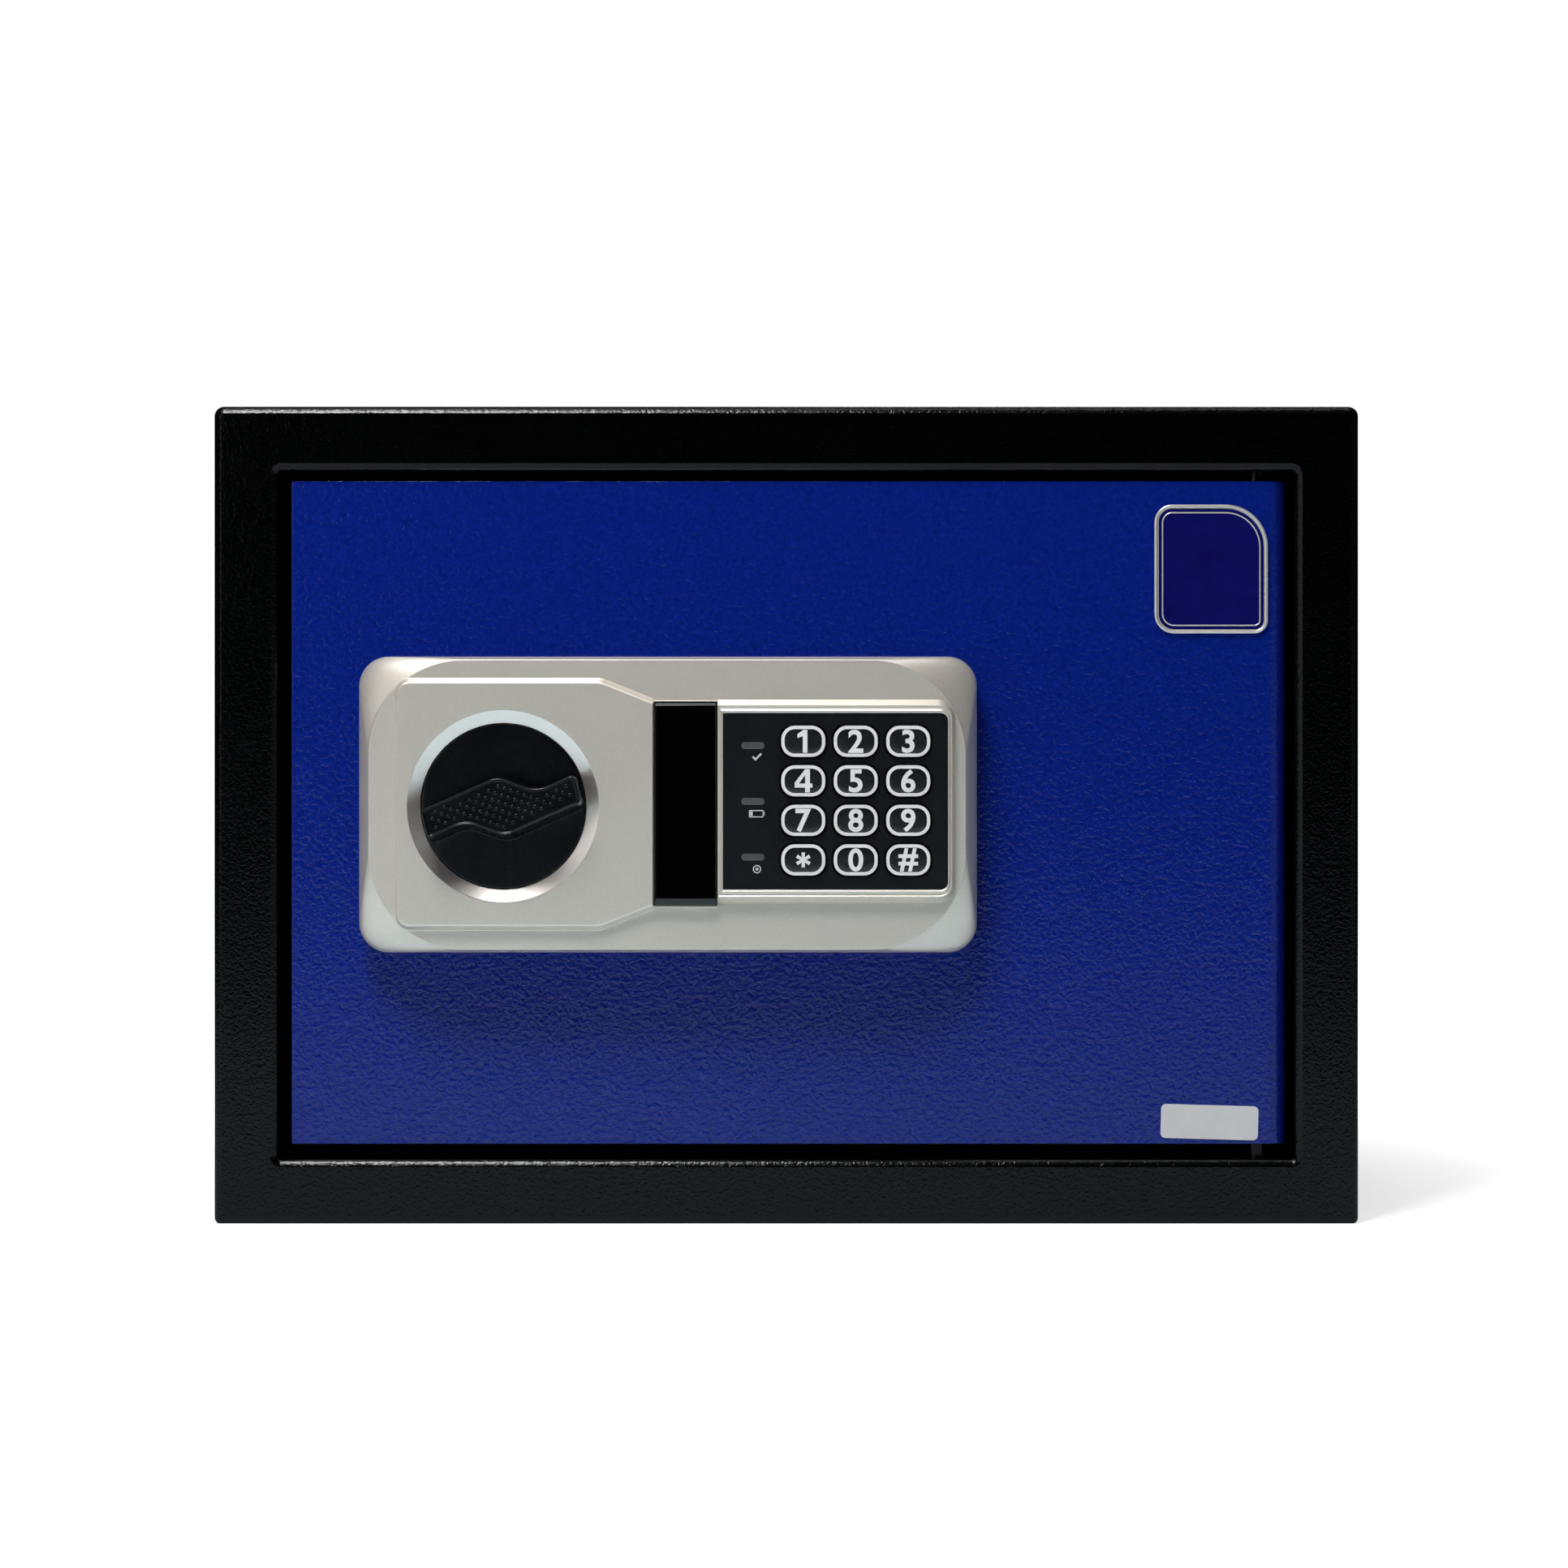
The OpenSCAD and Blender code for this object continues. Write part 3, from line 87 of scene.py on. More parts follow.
# %% Soft lamps
def soft_lamp(name, place, aim, width, height, power):
    """A rectangular lamp; places and sizes are in metres, the power in watts."""
    lamp = bpy.data.objects.new(name, bpy.data.lights.new(name, "AREA"))
    lamp.data.shape = "RECTANGLE"
    lamp.data.size, lamp.data.size_y = width, height
    lamp.data.energy = power
    lamp.location = place
    lamp.rotation_euler = (Vector(aim) - Vector(place)).to_track_quat("-Z", "Y").to_euler()
    scene.collection.objects.link(lamp)
    print(name, power, "W")


DOOR_MIDDLE = (0, -0.12, 0.125)
soft_lamp("lamp_above", (-0.27, -0.68, 1.18), DOOR_MIDDLE, 0.38, 0.32, 15.0)
soft_lamp("lamp_left", (-0.8, -1.0, 0.35), DOOR_MIDDLE, 0.7, 0.7, 1.7)
soft_lamp("lamp_right", (0.85, -0.75, 0.12), DOOR_MIDDLE, 0.8, 0.22, 0.16)
soft_lamp("lamp_top", (0.0, -0.25, 1.2), (0, -0.13, 0.125), 0.8, 0.3, 1.9)
soft_lamp("lamp_behind", (0.5, 1.3, 1.3), (0, 0.1, 0.1), 1.0, 1.0, 9)

# %% [markdown]
# ## Node helpers
# The room, the floor and every finish are made of shader nodes, and the same few of them come back
# each time. They could be placed by hand in the shader editor, but a script gives the same nodes on
# every run, and a helper for each kind wires it up in one line.

# %% Node helpers
def math_node(tree, operation, a, b):
    """Combines two values, each a number or another node's output."""
    node = tree.nodes.new("ShaderNodeMath")
    node.operation = operation
    for socket, value in zip(node.inputs, (a, b)):
        if isinstance(value, (int, float)):
            socket.default_value = value
        else:
            tree.links.new(value, socket)
    return node.outputs[0]


def remap(tree, value, low, high, to_low=0.0, to_high=1.0, smooth=False):
    """Stretches the span from low to high over another span."""
    node = tree.nodes.new("ShaderNodeMapRange")
    node.interpolation_type = "SMOOTHSTEP" if smooth else "LINEAR"
    for label, number in (("From Min", low), ("From Max", high), ("To Min", to_low),
                          ("To Max", to_high)):
        node.inputs[label].default_value = number
    tree.links.new(value, node.inputs["Value"])
    return node.outputs["Result"]


def mix_colours(tree, mask, a, b):
    """Blends two colours, each four numbers or another node's output."""
    node = tree.nodes.new("ShaderNodeMix")
    node.data_type = "RGBA"
    for label, colour in (("A", a), ("B", b)):
        if isinstance(colour, tuple):
            node.inputs[label].default_value = colour
        else:
            tree.links.new(colour, node.inputs[label])
    tree.links.new(mask, node.inputs["Factor"])
    return node.outputs["Result"]


def light_path(tree, *kinds):
    """One where any of these kinds of ray arrives."""
    path = tree.nodes.new("ShaderNodeLightPath")
    out = path.outputs[kinds[0]]
    for kind in kinds[1:]:
        out = math_node(tree, "MAXIMUM", out, path.outputs[kind])
    return out


print("node helpers:", *(made.__name__ for made in (math_node, remap, mix_colours, light_path)))

# %% [markdown]
# ## Room
# The picture has a white background with no horizon. A white world would give that, but it would
# also light the safe from all sides and take its shadow away. So the world shows white to the lens
# and stays dim for everything else: gloss mirrors a dark room ahead of the door and a slightly
# paler one behind it.

# %% Room
DARK_SIDE = (0, -0.8, -0.6)
ROOM_AHEAD, ROOM_BEHIND = 0.004, 0.09
world = bpy.data.worlds.new("room")
world.use_nodes = True
scene.world = world
tree = world.node_tree
tree.nodes.clear()
direction = tree.nodes.new("ShaderNodeTexCoord").outputs["Generated"]
facing = tree.nodes.new("ShaderNodeVectorMath")
facing.operation = "DOT_PRODUCT"
facing.inputs[1].default_value = DARK_SIDE
tree.links.new(direction, facing.inputs[0])
cloth = remap(tree, facing.outputs["Value"], -0.6, 0.5, ROOM_BEHIND, ROOM_AHEAD, smooth=True)
mirror = math_node(tree, "MULTIPLY", cloth, light_path(tree, "Is Glossy Ray"))
bright = math_node(tree, "ADD", mirror, light_path(tree, "Is Camera Ray", "Is Transmission Ray"))
room = tree.nodes.new("ShaderNodeBackground")
tree.links.new(bright, room.inputs["Color"])
tree.links.new(room.outputs[0], tree.nodes.new("ShaderNodeOutputWorld").inputs["Surface"])
scene.view_settings.view_transform = "Standard"
print("room:", ROOM_AHEAD, "ahead,", ROOM_BEHIND, "behind")

# %% [markdown]
# ## Floor
# The safe stands on a plain pale sheet, which catches the soft shadow at the foot of the box. The
# lens sees it fade to the white of the background, and gloss mirrors it as a table that ends. One
# colour for both would either show a horizon or fill the black frame with a pale reflection.

# %% Floor finish
FLOOR_REACH = 2.5
MIRRORED = ((0.06, 1.0), (0.11, 1.0), (0.2, 1.0), (0.36, 1.0), (0.6, 0.25), (0.9, 0.01))
MIRRORED_TINT = (0.82, 1.0, 1.08)
PALE_GREY, PALER_GREY = (0.78, 0.78, 0.78, 1), (0.82, 0.82, 0.82, 1)
SHADOW_FADE = (0.07, 0.14)
SHADOW_WHITE, OPEN_WHITE = 0.55, 1.0


def floor_finish():
    """White to the lens, pale grey to the lamps, and darker far away to what mirrors it."""
    mat = bpy.data.materials.new("pale_floor")
    mat.use_nodes = True
    tree = mat.node_tree
    nodes, links = tree.nodes, tree.links
    bsdf = nodes["Principled BSDF"]
    bsdf.inputs["Roughness"].default_value = 0.9
    bsdf.inputs["Specular IOR Level"].default_value = 0.1
    reach = nodes.new("ShaderNodeVectorMath")
    reach.operation = "LENGTH"
    links.new(nodes.new("ShaderNodeTexCoord").outputs["Object"], reach.inputs[0])
    away = remap(tree, reach.outputs["Value"], 0.0, FLOOR_REACH)
    mirrored = nodes.new("ShaderNodeValToRGB")
    ramp = mirrored.color_ramp.elements
    for i, (place, value) in enumerate(MIRRORED):
        stop = ramp[i] if i < 2 else ramp.new(place)
        stop.position, stop.color = place, (*[c * value for c in MIRRORED_TINT], 1)
    links.new(away, mirrored.inputs["Fac"])
    speck = nodes.new("ShaderNodeTexNoise")
    speck.inputs["Scale"].default_value = 900
    pale = mix_colours(tree, speck.outputs["Fac"], PALE_GREY, PALER_GREY)
    seen = mix_colours(tree, light_path(tree, "Is Glossy Ray"), pale, mirrored.outputs["Color"])
    links.new(seen, bsdf.inputs["Base Color"])
    glow = remap(tree, away, *SHADOW_FADE, SHADOW_WHITE, OPEN_WHITE)
    white = math_node(tree, "MULTIPLY", glow, light_path(tree, "Is Camera Ray"))
    links.new(white, bsdf.inputs["Emission Color"])
    bsdf.inputs["Emission Strength"].default_value = 1.0
    return mat


print("the mirrored floor is dark from", round(FLOOR_REACH * MIRRORED[-1][0], 2), "m on")

# %% Floor sheet
bm = bmesh.new()
bmesh.ops.create_grid(bm, x_segments=8, y_segments=8, size=4)
floor_mesh = bpy.data.meshes.new("floor")
bm.to_mesh(floor_mesh)
bm.free()
floor = bpy.data.objects.new("floor", floor_mesh)
floor.data.materials.append(floor_finish())
scene.collection.objects.link(floor)
print("floor:", floor.data.materials[0].name)

# %% [markdown]
# ## Outlines
# Nearly every front piece is a flat outline with rounded corners that steps forward or back. One
# helper rounds the corners of an outline, and one draws the outline in by a chosen amount on each
# side. All outlines are in millimetres and run anticlockwise as the front is seen, so the faces
# between two of them come out facing the viewer.

# %% Outline helpers
def rounded(corners, steps=8):
    """Points (x, z) of an outline whose corners (x, z, radius) are rounded."""
    points = []
    count = len(corners)
    for i, (x, z, r) in enumerate(corners):
        here = Vector((x, z))
        back = (Vector(corners[i - 1][:2]) - here).normalized()
        ahead = (Vector(corners[(i + 1) % count][:2]) - here).normalized()
        half = back.angle(ahead) / 2
        middle = here + (back + ahead).normalized() * (r / math.sin(half))
        start = here + back * (r / math.tan(half)) - middle
        end = here + ahead * (r / math.tan(half)) - middle
        turn = start.angle_signed(end) if r > 0 else 0
        for k in range(steps + 1):
            a = -turn * k / steps
            points.append((middle.x + start.x * math.cos(a) - start.y * math.sin(a),
                           middle.y + start.x * math.sin(a) + start.y * math.cos(a)))
    return points


def drawn_in(corners, by):
    """The same corners with each side moved inwards, by one distance or one per side."""
    count = len(corners)
    by = [by] * count if isinstance(by, (int, float)) else by
    lines = []
    for i, (x, z, r) in enumerate(corners):
        along = (Vector(corners[(i + 1) % count][:2]) - Vector((x, z))).normalized()
        lines.append((Vector((x, z)) + Vector((-along.y, along.x)) * by[i], along))
    moved = []
    for i, (x, z, r) in enumerate(corners):
        (p, u), (q, v) = lines[i - 1], lines[i]
        cross = u.x * v.y - u.y * v.x
        t = ((q.x - p.x) * v.y - (q.y - p.y) * v.x) / cross
        change = (by[i - 1] + by[i]) / 2 * (1 if cross > 0 else -1)
        moved.append((p.x + u.x * t, p.y + u.y * t, max(r - change, 0.05)))
    return moved


def plate(x, z, w, h, r):
    """Corners of a rounded rectangle about a point."""
    return [(x + w / 2, z - h / 2, r), (x + w / 2, z + h / 2, r),
            (x - w / 2, z + h / 2, r), (x - w / 2, z - h / 2, r)]


def circle(x, z, r, steps=72):
    return [(x + r * math.cos(math.tau * k / steps), z + r * math.sin(math.tau * k / steps))
            for k in range(steps)]


print("points round a plate:", len(rounded(plate(0, 0, 20, 10, 2))))

# %% [markdown]
# An outline becomes a surface when it is set at several levels and faces are put between them. A
# solidify or bevel modifier would be quicker, but it rounds every edge alike, and here each edge
# has a profile of its own. Flat parts are filled last, round the openings in them.

# %% Skin helpers
def ring(bm, points, y):
    """Vertices of an outline at a level; y is in mm from the middle of the safe."""
    return [bm.verts.new((x * MM, y * MM, z * MM)) for x, z in points]


def skin(bm, *rings):
    for a, b in zip(rings, rings[1:]):
        for i in range(len(a)):
            j = (i + 1) % len(a)
            bm.faces.new((a[i], a[j], b[j], b[i]))
    return rings[-1]


def fill(bm, *loops, toward=(0, -1, 0)):
    """Flat faces inside the first loop and outside the others."""
    edges = []
    for loop in loops:
        for i in range(len(loop)):
            pair = (loop[i], loop[(i + 1) % len(loop)])
            edges.append(bm.edges.get(pair) or bm.edges.new(pair))
    made = bmesh.ops.triangle_fill(bm, use_beauty=True, edges=edges, normal=toward)
    faces = [f for f in made["geom"] if isinstance(f, bmesh.types.BMFace)]
    for f in faces:
        f.normal_update()
        if f.normal.dot(Vector(toward)) < 0:
            f.normal_flip()
    return faces


def stepped(bm, corners, levels, steps=8):
    """Skins an outline through levels of (drawn in by, y); returns the first and the last ring."""
    rings = [ring(bm, rounded(drawn_in(corners, d) if d else corners, steps), y)
             for d, y in levels]
    skin(bm, *rings)
    return rings[0], rings[-1]


trial = bmesh.new()
stepped(trial, plate(0, 0, 20, 10, 2), [(0, 0), (1, -1)])
print("faces round a step:", len(trial.faces))
trial.free()

# %% [markdown]
# Round holes could be drawn into each outline, but a drill is simpler and runs true through any
# form. A boolean modifier does it, and its result is kept as a plain mesh.

# %% Round holes
def evaluated_mesh(blank):
    """A new mesh of what an object looks like with its modifiers."""
    bpy.context.view_layer.update()
    graph = bpy.context.evaluated_depsgraph_get()
    return bpy.data.meshes.new_from_object(blank.evaluated_get(graph))


def cut_hole(mesh, start, end, radius):
    """The mesh with a round hole between two points, in mm."""
    start, end = Vector(start) * MM, Vector(end) * MM
    drill = bmesh.new()
    bmesh.ops.create_cone(drill, cap_ends=True, segments=40, radius1=radius * MM,
                          radius2=radius * MM, depth=(end - start).length)
    bmesh.ops.transform(drill, verts=drill.verts[:],
                        matrix=(end - start).to_track_quat("Z", "Y").to_matrix().to_4x4())
    bmesh.ops.translate(drill, verts=drill.verts[:], vec=(start + end) / 2)
    tool_mesh = bpy.data.meshes.new("drill")
    drill.to_mesh(tool_mesh)
    drill.free()
    tool = bpy.data.objects.new("drill", tool_mesh)
    blank = bpy.data.objects.new("blank", mesh)
    for o in (tool, blank):
        scene.collection.objects.link(o)
    cut = blank.modifiers.new("cut", "BOOLEAN")
    cut.operation, cut.solver, cut.object = "DIFFERENCE", "EXACT", tool
    done = evaluated_mesh(blank)
    for o in (tool, blank):
        bpy.data.objects.remove(o)
    bpy.data.meshes.remove(tool_mesh)
    return done


print("hole helpers:", evaluated_mesh.__name__, cut_hole.__name__)

# %% [markdown]
# Each piece ends in the same steps: its faces become a mesh, edges past an angle stay sharp, it is
# hung on the body it rides on, and the solids it stands for are hidden. Smooth shading alone would
# smear light over the flat faces, so a weighted normal modifier keeps them flat.

# %% Finishing a piece
def finish_piece(name, form, body, slot, *materials, stands_for=(), crease=32, cuts=()):
    """Turns faces into a named piece that rides on a body."""
    mesh = form
    if isinstance(form, bmesh.types.BMesh):
        mesh = bpy.data.meshes.new(name)
        form.to_mesh(mesh)
        form.free()
    for cut in cuts:
        mesh = cut_hole(mesh, *cut)
    mesh.name = name
    mesh.shade_smooth()
    mesh.set_sharp_from_angle(angle=math.radians(crease))
    piece = bpy.data.objects.new(name, mesh)
    scene.collection.objects.link(piece)
    for i, material in enumerate(materials):
        if i < len(mesh.materials):
            mesh.materials[i] = material
        else:
            mesh.materials.append(material)
    even = piece.modifiers.new("even_shading", "WEIGHTED_NORMAL")
    even.keep_sharp = True
    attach(piece, body)
    if stands_for:
        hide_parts(*stands_for)
    print(f"{name}: {len(mesh.polygons)} faces on {body}")
    return piece


print("finishing helper:", finish_piece.__name__)

# %% [markdown]
# ## Shared surface effects
# Three effects come back in many finishes: the bumpy skin of powder coat, fine specks, and a slow
# unevenness from handling. Each one is a node group with named sockets, so a finish only chooses
# how large and how strong it is. They read the piece's own coordinates, so they move with it.
# A painted picture would do this too, but it would need unwrapping and wouldn't scale.

# %% Start of a node group
def new_group(name, inputs, outputs):
    group = bpy.data.node_groups.new(name, "ShaderNodeTree")
    for label, kind, value in inputs:
        socket = group.interface.new_socket(name=label, in_out="INPUT", socket_type=kind)
        if value is not None:
            socket.default_value = value
    for label, kind in outputs:
        group.interface.new_socket(name=label, in_out="OUTPUT", socket_type=kind)
    return group, group.nodes.new("NodeGroupInput"), group.nodes.new("NodeGroupOutput")


print("node groups so far:", len(bpy.data.node_groups))

# %% [markdown]
# The skin of powder coat is a soft noise. Its middle height, folded over, gives the blobs that a
# coarser coat or a felt has, and the socket Sharpness blends between the two.

# %% Powder coat skin
def powder_skin_group():
    """Height of the small rounded wrinkles that powder coat dries with."""
    group, inp, out = new_group("powder_skin",
        [("Vector", "NodeSocketVector", None), ("Wrinkles per metre", "NodeSocketFloat", 500.0),
         ("Sharpness", "NodeSocketFloat", 0.5)],
        [("Height", "NodeSocketFloat")])
    nodes, links = group.nodes, group.links
    swirl = nodes.new("ShaderNodeTexNoise")
    swirl.inputs["Detail"].default_value = 2.0
    swirl.inputs["Distortion"].default_value = 0.5
    links.new(inp.outputs["Vector"], swirl.inputs["Vector"])
    links.new(inp.outputs["Wrinkles per metre"], swirl.inputs["Scale"])
    fold = math_node(group, "ABSOLUTE", math_node(group, "SUBTRACT", swirl.outputs["Fac"], 0.5), 0)
    soft = nodes.new("ShaderNodeMix")
    links.new(inp.outputs["Sharpness"], soft.inputs["Factor"])
    links.new(swirl.outputs["Fac"], soft.inputs["A"])
    links.new(remap(group, fold, 0.0, 0.12, smooth=True), soft.inputs["B"])
    links.new(soft.outputs["Result"], out.inputs["Height"])
    return group


POWDER_SKIN = powder_skin_group()
print("powder skin:", len(POWDER_SKIN.nodes), "nodes")

# %% [markdown]
# Metal flakes in paint are too small for shapes. A cell pattern gives each flake a value of its
# own, where a soft noise would blur them into clouds.

# %% Fine specks
def specks_group():
    """A value that changes from grain to grain, as metal flakes in paint do."""
    group, inp, out = new_group("specks",
        [("Vector", "NodeSocketVector", None), ("Specks per metre", "NodeSocketFloat", 3000.0)],
        [("Value", "NodeSocketFloat")])
    cells = group.nodes.new("ShaderNodeTexVoronoi")
    group.links.new(inp.outputs["Vector"], cells.inputs["Vector"])
    group.links.new(inp.outputs["Specks per metre"], cells.inputs["Scale"])
    split = group.nodes.new("ShaderNodeSeparateColor")
    group.links.new(cells.outputs["Color"], split.inputs["Color"])
    group.links.new(split.outputs["Red"], out.inputs["Value"])
    return group


SPECKS = specks_group()
print("specks:", len(SPECKS.nodes), "nodes")

# %% [markdown]
# Nothing that is used stays evenly glossy. A slow noise with some fine detail, stretched to full
# contrast, makes the duller patches.

# %% Handling marks
def handling_group():
    """A slow, cloudy change, for places that hands and dust have made duller."""
    group, inp, out = new_group("handling",
        [("Vector", "NodeSocketVector", None), ("Clouds per metre", "NodeSocketFloat", 18.0)],
        [("Mask", "NodeSocketFloat")])
    cloud = group.nodes.new("ShaderNodeTexNoise")
    cloud.inputs["Detail"].default_value = 5.0
    cloud.inputs["Roughness"].default_value = 0.62
    group.links.new(inp.outputs["Vector"], cloud.inputs["Vector"])
    group.links.new(inp.outputs["Clouds per metre"], cloud.inputs["Scale"])
    group.links.new(remap(group, cloud.outputs["Fac"], 0.32, 0.68), out.inputs["Mask"])
    return group


HANDLING = handling_group()
print("handling marks:", len(HANDLING.nodes), "nodes")

# %% [markdown]
# ## Finishes
# Each finish is one Principled shader. A small kit starts the material, drops a group into it and
# blends between two colours or two roughnesses, so each finish reads as a short list of choices.

# %% Finish kit
class Finish:
    """A material being made: its nodes, its shader and the piece's own coordinates."""

    def __init__(self, name, metallic=0.0, level=0.5):
        self.material = bpy.data.materials.new(name)
        self.material.use_nodes = True
        self.tree = self.material.node_tree
        self.nodes, self.links = self.tree.nodes, self.tree.links
        self.shader = self.nodes["Principled BSDF"]
        self.shader.inputs["Metallic"].default_value = metallic
        self.shader.inputs["Specular IOR Level"].default_value = level
        self.place = self.nodes.new("ShaderNodeTexCoord").outputs["Object"]

    def group(self, group, output, **values):
        node = self.nodes.new("ShaderNodeGroup")
        node.node_tree = group
        self.links.new(self.place, node.inputs["Vector"])
        for label, value in values.items():
            node.inputs[label.replace("_", " ")].default_value = value
        return node.outputs[output]

    def colour(self, mask, low, high):
        mixed = mix_colours(self.tree, mask, (*low, 1), (*high, 1))
        self.links.new(mixed, self.shader.inputs["Base Color"])

    def roughness(self, mask, low, high):
        self.links.new(remap(self.tree, mask, 0, 1, low, high), self.shader.inputs["Roughness"])

    def bump(self, height, depth):
        """depth is the height of the bumps in mm."""
        bump = self.nodes.new("ShaderNodeBump")
        bump.inputs["Strength"].default_value = 1.0
        bump.inputs["Distance"].default_value = depth * MM
        self.links.new(height, bump.inputs["Height"])
        self.links.new(bump.outputs["Normal"], self.shader.inputs["Normal"])


print("a finish can set:", *(name for name in vars(Finish) if not name.startswith("_")))

# %% [markdown]
# ## Powder coat
# The frame is almost black and the door royal blue, both with the fine leathery skin of textured
# powder coat. A bump alone would vanish where little light falls, so the same skin also paints
# shade
# into the colour: the hollows are painted darker and the ridges lighter. The inner cover is duller,
# because it is sprayed thinly.

# %% Powder coats
def powder_coat(name, dark, light, wrinkles, depth, rough, sharp=0.0, level=0.5):
    """wrinkles is how many there are in a metre, depth their height in mm."""
    f = Finish(name, level=level)
    skin_height_and_shade = f.group(POWDER_SKIN, "Height", Wrinkles_per_metre=wrinkles, Sharpness=sharp)
    # painted shade and light: the wrinkle height darkens the colour in the hollows and lightens it
    # on the ridges
    f.colour(skin_height_and_shade, dark, light)
    f.roughness(f.group(HANDLING, "Mask", Clouds_per_metre=60.0), *rough)
    f.bump(skin_height_and_shade, depth)
    return f.material


# each coat's first colour is the painted shade in the hollows, the second the painted light on the
# ridges
FRAME_COAT = powder_coat("frame_coat", (0.0001, 0.0002, 0.0003), (0.0011, 0.0013, 0.0014),
                         wrinkles=950.0, depth=0.12, rough=(0.13, 0.17), level=0.18)
DOOR_COAT = powder_coat("door_coat", (0.0004, 0.0052, 0.106), (0.0038, 0.0204, 0.264),
                        wrinkles=720.0, depth=0.185, rough=(0.10, 0.13), level=0.33)
COVER_COAT = powder_coat("cover_coat", (0.012, 0.012, 0.013), (0.018, 0.018, 0.019),
                         wrinkles=900.0, depth=0.06, rough=(0.45, 0.6), sharp=0.3)
print("powder coats:", FRAME_COAT.name, DOOR_COAT.name, COVER_COAT.name)

# %% [markdown]
# ## Silver paint
# The panel is plastic under a warm silver paint. Full metal would turn it dark wherever the room is
# dark, so it is only part metallic, with flakes that differ a little from grain to grain. The ring
# round the knob and the edge of the badge are brighter and smoother.

# %% Silver paint of the lock panel
def silver_paint(name, dark, light, rough, metallic):
    """Paint with fine metal flakes; the more metallic, the more it mirrors the room."""
    f = Finish(name, metallic=metallic)
    flakes = f.group(SPECKS, "Value", Specks_per_metre=5200.0)
    f.colour(flakes, dark, light)
    f.roughness(f.group(HANDLING, "Mask", Clouds_per_metre=30.0), *rough)
    f.bump(flakes, 0.003)
    return f.material


SILVER_PAINT = silver_paint("silver_paint", (0.650, 0.606, 0.540), (0.718, 0.670, 0.598),
                            rough=(0.40, 0.43), metallic=0.65)
RING_METAL = silver_paint("ring_metal", (0.775, 0.725, 0.68), (0.835, 0.785, 0.74),
                          rough=(0.28, 0.32), metallic=0.85)
BADGE_METAL = silver_paint("badge_metal", (0.66, 0.64, 0.61), (0.72, 0.70, 0.67),
                           rough=(0.26, 0.32), metallic=0.6)
print("silver paints:", SILVER_PAINT.name, RING_METAL.name, BADGE_METAL.name)

# %% [markdown]
# ## Plastics and rubber
# Moulded parts differ in colour, gloss and grain, but share one recipe: cloudy colour and gloss
# from handling, and a fine skin from the mould. One function makes them all.

# %% Plastics and rubber
def plastic(name, dark, light, rough, grain, depth, level=0.5):
    """Moulded plastic or rubber; grain is the bumps in a metre, depth their height in mm."""
    f = Finish(name, level=level)
    f.colour(f.group(HANDLING, "Mask", Clouds_per_metre=90.0), dark, light)
    f.roughness(f.group(HANDLING, "Mask", Clouds_per_metre=140.0), *rough)
    f.bump(f.group(POWDER_SKIN, "Height", Wrinkles_per_metre=grain, Sharpness=0.2), depth)
    return f.material


# clean colour, handled colour, roughness from and to, bumps in a metre, their height, gloss level
PLASTIC_RECIPES = {
    "knob_black": ((0.0007, 0.0011, 0.0015), (0.0016, 0.0022, 0.0028), (0.24, 0.30), 1500.0,
                   0.012, 0.25),
    "key_plate": ((0.0035, 0.0046, 0.0058), (0.0055, 0.0066, 0.0078), (0.30, 0.38), 1400.0,
                  0.02, 0.2),
    "key_black": ((0.006, 0.0065, 0.0075), (0.010, 0.011, 0.012), (0.22, 0.30), 700.0, 0.01),
    "gloss_black": ((0.0003, 0.0003, 0.0003), (0.0006, 0.0006, 0.0006), (0.05, 0.09), 260.0, 0.004),
    "key_white": ((0.70, 0.71, 0.71), (0.78, 0.79, 0.79), (0.45, 0.55), 1500.0, 0.008),
    "lamp_lens": ((0.055, 0.058, 0.062), (0.075, 0.078, 0.082), (0.25, 0.35), 900.0, 0.01),
    "sign_grey": ((0.48, 0.49, 0.50), (0.58, 0.59, 0.60), (0.5, 0.6), 1500.0, 0.008),
    "label_white": ((0.56, 0.58, 0.60), (0.62, 0.64, 0.66), (0.55, 0.65), 2500.0, 0.01),
    "grey_rubber": ((0.10, 0.10, 0.10), (0.13, 0.13, 0.13), (0.65, 0.8), 1800.0, 0.03),
    "black_rubber": ((0.010, 0.010, 0.010), (0.016, 0.016, 0.016), (0.6, 0.75), 1800.0, 0.03),
    "inner_black": ((0.014, 0.014, 0.014), (0.022, 0.022, 0.022), (0.4, 0.52), 1300.0, 0.03),
    "reset_red": ((0.50, 0.012, 0.010), (0.60, 0.02, 0.016), (0.2, 0.3), 900.0, 0.008),
    "wire_red": ((0.42, 0.02, 0.015), (0.52, 0.03, 0.02), (0.35, 0.45), 1500.0, 0.01),
    "cell_wrap": ((0.03, 0.032, 0.036), (0.05, 0.052, 0.058), (0.22, 0.3), 500.0, 0.01),
    "coil_tape": ((0.36, 0.12, 0.03), (0.46, 0.17, 0.05), (0.3, 0.42), 1800.0, 0.04),
    "board_green": ((0.010, 0.075, 0.030), (0.016, 0.105, 0.045), (0.3, 0.4), 1100.0, 0.02),
    "enamel_blue": ((0.0035, 0.0035, 0.085), (0.006, 0.006, 0.12), (0.10, 0.16), 160.0, 0.01)}
PLASTIC = {name: plastic(name, *recipe) for name, recipe in PLASTIC_RECIPES.items()}
print("plastics:", *PLASTIC)

# %% [markdown]
# ## Metals
# Screws, bolts and plated parts show a fine drawn grain. Anisotropy could suggest it, but the
# cloudy mask stretched along X gives real streaks in colour, gloss and bump.

